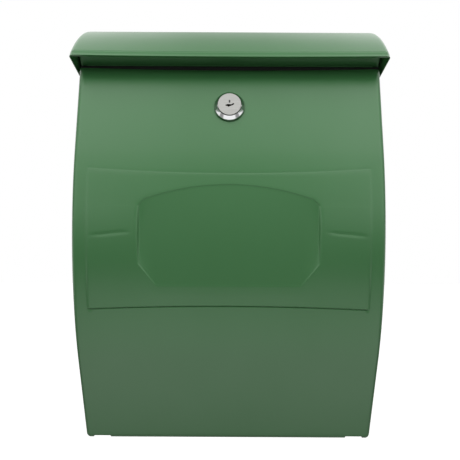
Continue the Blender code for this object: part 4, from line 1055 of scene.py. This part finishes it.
RIBS = {"Spacing": 40, "Bottom": -214.6, "Height": 345, "Root": 2, "Crest": 1.2, "Rise": 1.6, "Wall": -2.8}  # in mm


def rib_tree():
    """Upright stiffening ribs with sloped flanks, side by side on the back wall."""
    tree, known = node_tree("ribs", RIBS, ["Count"])
    steps = (
        ("gaps", "SUBTRACT", "Count", 1.0),
        ("span", "MULTIPLY", "gaps", "Spacing"),
        ("first", "MULTIPLY", "span", -0.5),
        ("half rise", "MULTIPLY", "Rise", 0.5),
        ("middle", "SUBTRACT", "Wall", "half rise"),
    )
    formula(tree, "ShaderNodeMath", known, steps)
    start = node(tree, "ShaderNodeCombineXYZ", {"X": known["first"], "Y": known["middle"], "Z": known["Bottom"]})
    step = node(tree, "ShaderNodeCombineXYZ", {"X": known["Spacing"]})
    up = node(tree, "ShaderNodeCombineXYZ", {"Z": known["Height"]})
    line = node(tree, "GeometryNodeCurvePrimitiveLine", {"Start": (0.0, 0.0, 0.0), "End": up})
    flanks = {"Height": known["Rise"], "Bottom Width": known["Root"], "Top Width": known["Crest"], "Offset": 0.0}
    section = node(tree, "GeometryNodeCurvePrimitiveQuadrilateral", flanks, mode="TRAPEZOID")
    return ridges(tree, known, line, section, {"Count": known["Count"], "Start Location": start, "Offset": step})


def seal_outline(seal, low):
    """The strip's section: flat against the rail and bulged towards the door."""
    root, middle, half = seal.face + 0.05 * MM, (low + seal.high) / 2, (seal.high - low) / 2
    turns = np.linspace(-math.pi / 2, math.pi / 2, 13)
    bulge = [(seal.face - seal.rise * math.cos(turn), middle + half * math.sin(turn)) for turn in turns]
    return [(root, low), *bulge, (root, seal.high)]


class MAILBOX_OT_housing(bpy.types.Operator):
    """Finish the moulded shell and the slot rail, and add its rubber strip, whose black is also painted shade for the
    gap above the door, and the ribs on the back wall
    """

    bl_idname = "mailbox.housing"
    bl_label = "Housing"

    def execute(self, context):
        dressed("housing_shell", "green_plastic")
        dressed("slot_rail", "green_plastic")
        seal, half = context.scene.mailbox_seal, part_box("slot_rail")[1].x
        narrow, stop = half - seal.corner, half - seal.end
        strip = prism("rail_seal_painted_gap_shade", seal_outline(seal, seal.low), -narrow, narrow)
        ends = seal_outline(seal, seal.low_ends)
        strip = merged(strip, [prism("end", ends, *beside(side, narrow, stop)) for side in (-1, 1)])
        # The strip is black rubber, and its black also stands in for the shade of the gap above the door's top edge.
        strip.data.materials.append(finish(moulded_rubber))
        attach(strip, "housing")
        values = {name: millimetres * MM for name, millimetres in RIBS.items()}
        values.update({"Count": 7, "Material": finish(moulded_polypropylene)})
        ribs = modelled(shown("back_ribs", [(0, 0, 0)], []), rib_tree(), values)
        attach(finished(ribs, "green_plastic"), "housing")
        return {"FINISHED"}


class MAILBOX_OT_fixings(bpy.types.Operator):
    """Finish the screws and the hinge pins"""

    bl_idname = "mailbox.fixings"
    bl_label = "Screws and Pins"

    def execute(self, context):
        for name in frame["nodes"]:
            if name.startswith(("rail_screw", "lid_pivot_pin", "door_hinge_pin")):
                dressed(name, "zinc_steel", STEEL_EDGE)
        return {"FINISHED"}


# ---- Lock: made about its own axes, with Z out of the door ----


def trim_profile(lock):
    """The ring's section: a web under the lock's head, a skirt and a cone up to the lock's face."""
    gap, soft = 0.3 * MM, 0.5 * MM
    base = 2 * gap + lock.gasket
    hole, inner = lock.body_radius + gap, lock.head_radius + gap
    top = inner + 0.08 * MM
    shoulder = lock.trim_height - 1.15 * (lock.trim_radius - top)
    skirt = lock.trim_radius - 0.3 * MM
    bend = [(skirt - soft * k * k, shoulder - soft * (1 - 2 * k)) for k in np.linspace(0, 1, 7)]
    outer = [(hole, base), (lock.trim_radius - 0.2 * MM, base), (lock.trim_radius, base + 0.3 * MM), *bend]
    rim = [(top + 0.05 * MM, lock.trim_height - 0.08 * MM), (top, lock.trim_height)]
    return [*outer, *rim, (inner, lock.trim_height - 0.2 * MM), (inner, base + MM), (hole, base + MM)]


def thread_tree():
    """Thread ridges on the two round sides of a body with flats."""
    tree, known = node_tree("thread", ("Pitch", "Radius", "Height", "Start Angle", "Sweep"), ["Turns"])
    steps = (
        ("wide", "MULTIPLY", "Pitch", 0.85),
        ("narrow", "MULTIPLY", "Pitch", 0.15),
        ("tall", "MULTIPLY", "Height", 2.0),
        ("Far Start", "ADD", "Start Angle", math.pi),
    )
    formula(tree, "ShaderNodeMath", known, steps)
    arcs = node(tree, "GeometryNodeJoinGeometry")
    for start in ("Start Angle", "Far Start"):
        inputs = {"Radius": known["Radius"], "Start Angle": known[start], "Sweep Angle": known["Sweep"]}
        side = node(tree, "GeometryNodeCurveArc", {**inputs, "Resolution": 33})
        tree.links.new(side.outputs["Curve"], arcs.inputs[0])
    flanks = {"Height": known["tall"], "Bottom Width": known["wide"], "Top Width": known["narrow"], "Offset": 0.0}
    section = node(tree, "GeometryNodeCurvePrimitiveQuadrilateral", flanks, mode="TRAPEZOID")
    turn = node(tree, "GeometryNodeTransform", {"Geometry": section, "Rotation": (0.0, 0.0, -math.pi / 2)})
    step = node(tree, "ShaderNodeCombineXYZ", {"Z": known["Pitch"]})
    return ridges(tree, known, arcs, turn, {"Count": known["Turns"], "Offset": step})


def body_thread(lock):
    """The thread behind the nut."""
    edge = math.acos(lock.body_flat / lock.body_radius)
    values = {
        "Turns": int((lock.body_depth - lock.nut_back - MM) / lock.thread_pitch),
        "Pitch": lock.thread_pitch,
        "Radius": lock.body_radius,
        "Height": lock.thread_height,
        "Start Angle": edge,
        "Sweep": math.pi - 2 * edge,
        "Material": finish(zinc_plated_steel),
    }
    thread = modelled(shown("lock_body_thread", [(0, 0, 0)], []), thread_tree(), values)
    thread.data.transform(Matrix.Translation((0, 0, -lock.body_depth + MM)))
    return thread


# The keyway's outline in millimetres, from its left end round over its top.
KEYWAY = ((-4.1, -0.3), (-3.2, 0.5), (-1.6, 1.0), (0.2, 0.9), (1.6, 0.8), (3.7, 2.0), (4.6, 1.7))
KEYWAY += ((4.2, 0.7), (1.7, -0.7), (0.2, -1.2), (-0.9, -1.9), (-1.9, -1.1), (-3.4, -0.9))
KEYWAY_DROP = 1.2 * MM
WAFERS = [f"lock_wafer_{number}" for number in range(1, 6)]


def plug(lock):
    """The turning plug: a brushed face with a keyhole, a round body with slots for the wafers, and a square tail."""
    body_end, tail_end = -lock.body_depth - 0.3 * MM, -lock.body_depth - 2.6 * MM
    face_back, edge, half = 5.3 * MM, 0.4 * MM, lock.tail / 2
    profile = [(0, body_end), (lock.plug_radius, body_end), (lock.plug_radius, face_back)]
    profile += [(lock.head_radius, face_back), (lock.head_radius, lock.face_front - 0.8 * edge)]
    profile += [(lock.head_radius - edge, lock.face_front), (0, lock.face_front)]
    square = [(u * half, v * half, tail_end) for u, v in ((-1, -1), (1, -1), (1, 1), (-1, 1))]
    tail = extruded("tail", square, (0, 0, body_end + MM - tail_end))
    hole = [(u * MM, v * MM - KEYWAY_DROP, lock.face_front - lock.keyway_depth) for u, v in KEYWAY]
    bore = [(u, v, tail_end - MM) for u, v in circle((0, 0), 2.2 * MM, 32)]
    cuts = [extruded("keyway", hole, (0, 0, lock.keyway_depth + MM)), extruded("bore", bore, (0, 0, 8 * MM))]
    wide, across, thick = 2 * lock.plug_radius, 3.65 * MM, 0.55 * MM
    for wafer in WAFERS:
        low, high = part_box(wafer)
        middle = lock_matrix().inverted() @ ((low + high) / 2)
        corners = ((-wide, -across), (wide, -across), (wide, across), (-wide, across))
        cuts.append(extruded("slot", [(u, v, middle.z - thick) for u, v in corners], (0, 0, 2 * thick)))
    made = combined(turned("lock_plug_face", profile), adds=[tail], cuts=cuts)
    finished(made, "bright_chrome")
    made.data.materials[0] = finish(brushed_nickel)
    made.data.materials.append(finish(oiled_keyway_painted_shade))
    # Faces inside the keyway take its dark finish: old oil and painted shade.
    for face in made.data.polygons:
        u, v, out = face.center
        inside = math.hypot(u, v) < lock.plug_radius - 0.5 * MM
        face.material_index = int(inside and tail_end + MM < out < lock.face_front - 0.01 * MM)
    return made


def index_mark(lock):
    """A stamped line above the keyhole, filled with paint."""
    radius, reach, centre = 0.75 * MM, 0.75 * MM, 2.7 * MM
    outline = arc((0, centre + reach), radius, 0, math.pi, 12)
    outline += arc((0, centre - reach), radius, math.pi, 2 * math.pi, 12)
    return extruded("lock_index_mark", [(u, v, lock.face_front - 0.1 * MM) for u, v in outline], (0, 0, 0.14 * MM))


class MAILBOX_OT_lock(bpy.types.Operator):
    """Make the lock's trim ring, plug, thread and index mark, and finish its other pieces"""

    bl_idname = "mailbox.lock"
    bl_label = "Lock"

    def execute(self, context):
        lock = context.scene.mailbox_lock
        ring = on_lock(turned("lock_ring", trim_profile(lock)))
        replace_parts(finished(ring, "bright_chrome"), "lock_trim_ring")
        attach(ring, "door")
        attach(finished(on_lock(body_thread(lock)), "zinc_steel"), "door")
        mark = on_lock(index_mark(lock))
        mark.data.materials.append(finish(filled_paint))
        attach(mark, "lock")
        made = on_lock(plug(lock))
        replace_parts(made, "lock_plug")
        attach(made, "lock")
        dressed("lock_gasket", "rubber")
        for name in ("lock_barrel", "lock_washer", "lock_nut", "lock_cam", "cam_washer", "cam_screw"):
            dressed(name, "zinc_steel", STEEL_EDGE)
        for name in WAFERS:
            dressed(name, "brass")
        return {"FINISHED"}


# ---- Stage ----


FLOOR_DROP, FLOOR_HALF = 0.3, 6.0
LENS, SENSOR = 55.4, 36
CAMERA_PLACE, CAMERA_ROLL = (0.0011, -0.785, 0.001), math.radians(-0.29)

# What gloss sees: a pale room, brighter to the sides, with a reflector on each side in front and dark ends.
# A range has its input, two values of it and the results at them, and stays between those results.
WORLD_RANGES = (
    ("front", "Y", 0.1, -0.3, "behind", "room"),
    ("edges", "side", 0.05, 0.24, 1.0, "sides"),
    ("wing", "side", 0.04, 0.2, 0.0, "wings"),
    ("raised", "Z", 0.03, 0.11, 0.0, 1.0),
    ("below top", "Z", 0.6, 0.8, 1.0, 0.0),
    ("before", "Y", -0.5, -0.2, 1.0, 0.0),
    ("far side", "side", 0.9, 0.95, 0.0, 0.97),
    ("lifted", "Z", 0.08, 0.14, 0.0, 1.0),
)
WORLD_STEPS = (
    ("plain gloss", "MULTIPLY", "front", "edges"),
    ("wing height", "MULTIPLY", "raised", "below top"),
    ("wing part", "MULTIPLY", "wing height", "before"),
    ("bright gloss", "MULTIPLY_ADD", "wing", "wing part", "plain gloss"),
    ("dark part", "MULTIPLY", "far side", "lifted"),
    ("kept part", "SUBTRACT", 1.0, "dark part"),
    ("all gloss", "MULTIPLY", "bright gloss", "kept part"),
    ("more", "SUBTRACT", "all gloss", "ambient"),
    ("unseen", "MULTIPLY_ADD", "glossy", "more", "ambient"),
    ("seen", "MAXIMUM", "camera", "clear"),
    ("whiter", "SUBTRACT", 1.0, "unseen"),
    ("strength", "MULTIPLY_ADD", "seen", "whiter", "unseen"),
)

# How far the floor is lifted: towards white for the camera, and for gloss only near the mailbox's front, as a painted
# glow in reflections with a painted shadow under and behind the mailbox.
FLOOR_RANGES = (
    ("close", "side", 1.3, 1.9, 1.0, 0.0),
    ("back", "Y", -0.22, -0.08, 0.0, 0.9),
    ("far", "Y", -1.6, -0.5, 0.15, 1.0),
    ("beside", "side", 0.45, 0.6, 0.0, 0.8),
    ("nearer", "side", 1.1, 1.3, 1.0, 0.0),
)
FLOOR_STEPS = (
    # shade is a painted shadow of the mailbox on the floor, seen only in reflections; the strips beside it are painted
    # dimming too.
    ("shade", "MULTIPLY", "close", "back"),
    ("under", "SUBTRACT", 1.0, "shade"),
    ("glow_outside_painted_shadow", "MULTIPLY", "under", "far"),
    ("painted_dim_strips", "MULTIPLY", "beside", "nearer"),
    ("outside_dim_strips", "SUBTRACT", 1.0, "painted_dim_strips"),
    ("lit", "MULTIPLY", "glow_outside_painted_shadow", "outside_dim_strips"),
    ("shown", "MULTIPLY", "lit", "floor_reflection_glow"),
    ("seen", "MULTIPLY", "camera", "floor_seen"),
    ("lift", "MULTIPLY_ADD", "glossy", "shown", "seen"),
)


def known_light(tree, place):
    """The light's settings, the kind of ray and the parts of a place, by name."""
    light, rays = bpy.context.scene.mailbox_light, node(tree, "ShaderNodeLightPath").outputs
    kinds = {"camera": "Is Camera Ray", "glossy": "Is Glossy Ray", "clear": "Is Transmission Ray"}
    known = {name: getattr(light, name) for name in MailboxLight.__annotations__}
    known.update({name: rays[kind] for name, kind in kinds.items()})
    known.update(node(tree, "ShaderNodeSeparateXYZ", {0: place}).outputs.items())
    known["side"] = node(tree, "ShaderNodeMath", {0: known["X"]}, operation="ABSOLUTE")
    return known


def studio_world(scene):
    """White to the eye. Gloss sees a pale room, brighter at its sides, with two reflectors and dark ends."""
    scene.world = bpy.data.worlds.new("studio")
    scene.world.use_nodes = True
    tree = scene.world.node_tree
    tree.nodes.clear()
    known = known_light(tree, node(tree, "ShaderNodeTexCoord").outputs["Generated"])
    for result, *values in WORLD_RANGES:
        known[result] = node(tree, "ShaderNodeMapRange", looked_up(known, values))
    formula(tree, "ShaderNodeMath", known, WORLD_STEPS)
    sky = node(tree, "ShaderNodeBackground", {"Color": (1, 1, 1, 1), "Strength": known["strength"]})
    node(tree, "ShaderNodeOutputWorld", {"Surface": sky})


def pale_floor(tree, place, colours):
    """Pale matt boards. The camera sees them near white, and gloss sees a painted glow on them only in front of the
    mailbox, with a painted shadow under and behind it.
    """
    grain = node(tree, "ShaderNodeTexNoise", {"Vector": place, "Scale": per(2), "Detail": 2.0})
    bump = node(tree, "ShaderNodeBump", {"Height": grain, "Strength": 0.2, "Distance": 0.1 * MM})
    known = known_light(tree, place)
    for result, *values in FLOOR_RANGES:
        known[result] = node(tree, "ShaderNodeMapRange", looked_up(known, values))
    formula(tree, "ShaderNodeMath", known, FLOOR_STEPS)
    glow = {"Emission Color": (1, 1, 1, 1), "Emission Strength": known["lift"]}
    return {"Base Color": opaque(colours.floor), "Roughness": 0.9, "Normal": bump, **glow}


def softbox(name, place, target, screen, power):
    """A lamp out of the camera's sight, pointed at a place."""
    data = bpy.data.lights.new(name, "AREA")
    data.shape, data.energy = "RECTANGLE", power
    data.size, data.size_y = screen
    made = linked(name, data)
    made.location = place
    made.rotation_euler = (Vector(target) - Vector(place)).to_track_quat("-Z", "Y").to_euler()
    made.visible_camera = False
    return made


class MAILBOX_OT_stage(bpy.types.Operator):
    """Make the floor, the lights, the world and the camera"""

    bl_idname = "mailbox.stage"
    bl_label = "Stage"

    def execute(self, context):
        scene, low, half = context.scene, CAD_BOUNDS[0].z - FLOOR_DROP, FLOOR_HALF
        corners = [(x, y, low) for x, y in ((-half, -half), (half, -half), (half, half), (-half, half))]
        floor = shown("floor", corners, [(0, 1, 2, 3)])
        floor.data.materials.append(finish(pale_floor))
        studio_world(scene)
        softbox("key", (0.0, -0.42, 0.56), (0, -0.1, 0.12), (0.9, 0.4), scene.mailbox_light.key)
        fill = softbox("fill", (0.0, -0.82, 0.53), (0, -0.1, 0.08), (0.8, 0.3), scene.mailbox_light.fill)
        fill.visible_glossy = False
        data = bpy.data.cameras.new("camera")
        data.lens, data.sensor_width = LENS, SENSOR
        scene.camera = linked("camera", data)
        upright = Matrix.Rotation(math.radians(90), 4, "X")
        scene.camera.matrix_world = Matrix.Translation(CAMERA_PLACE) @ Matrix.Rotation(CAMERA_ROLL, 4, "Y") @ upright
        scene.view_settings.view_transform = "Standard"
        return {"FINISHED"}


# ---- Panel and run ----


OPERATORS = (
    MAILBOX_OT_housing,
    MAILBOX_OT_fixings,
    MAILBOX_OT_lid,
    MAILBOX_OT_door,
    MAILBOX_OT_lock,
    MAILBOX_OT_stage,
)


class MAILBOX_PT_panel(bpy.types.Panel):
    """The mailbox's settings and the buttons that build it"""

    bl_idname = "MAILBOX_PT_panel"
    bl_label = "Mailbox"
    bl_space_type = "VIEW_3D"
    bl_region_type = "UI"
    bl_category = "Mailbox"

    def draw(self, context):
        for name, group in GROUPS.items():
            box = self.layout.box()
            box.label(text=group.__doc__)
            for key in group.__annotations__:
                box.prop(getattr(context.scene, name), key)
        for operator in OPERATORS:
            self.layout.operator(operator.bl_idname)


CLASSES = (*GROUPS.values(), *OPERATORS, MAILBOX_PT_panel)


def register():
    for each in CLASSES:
        bpy.utils.register_class(each)
    for name, group in GROUPS.items():
        setattr(bpy.types.Scene, name, PointerProperty(type=group))


def unregister():
    for name in GROUPS:
        delattr(bpy.types.Scene, name)
    for each in reversed(CLASSES):
        bpy.utils.unregister_class(each)


def main():
    register()
    bpy.ops.mailbox.housing()
    bpy.ops.mailbox.fixings()
    bpy.ops.mailbox.lid()
    bpy.ops.mailbox.door()
    bpy.ops.mailbox.lock()
    bpy.ops.mailbox.stage()


if __name__ == "__main__":
    main()
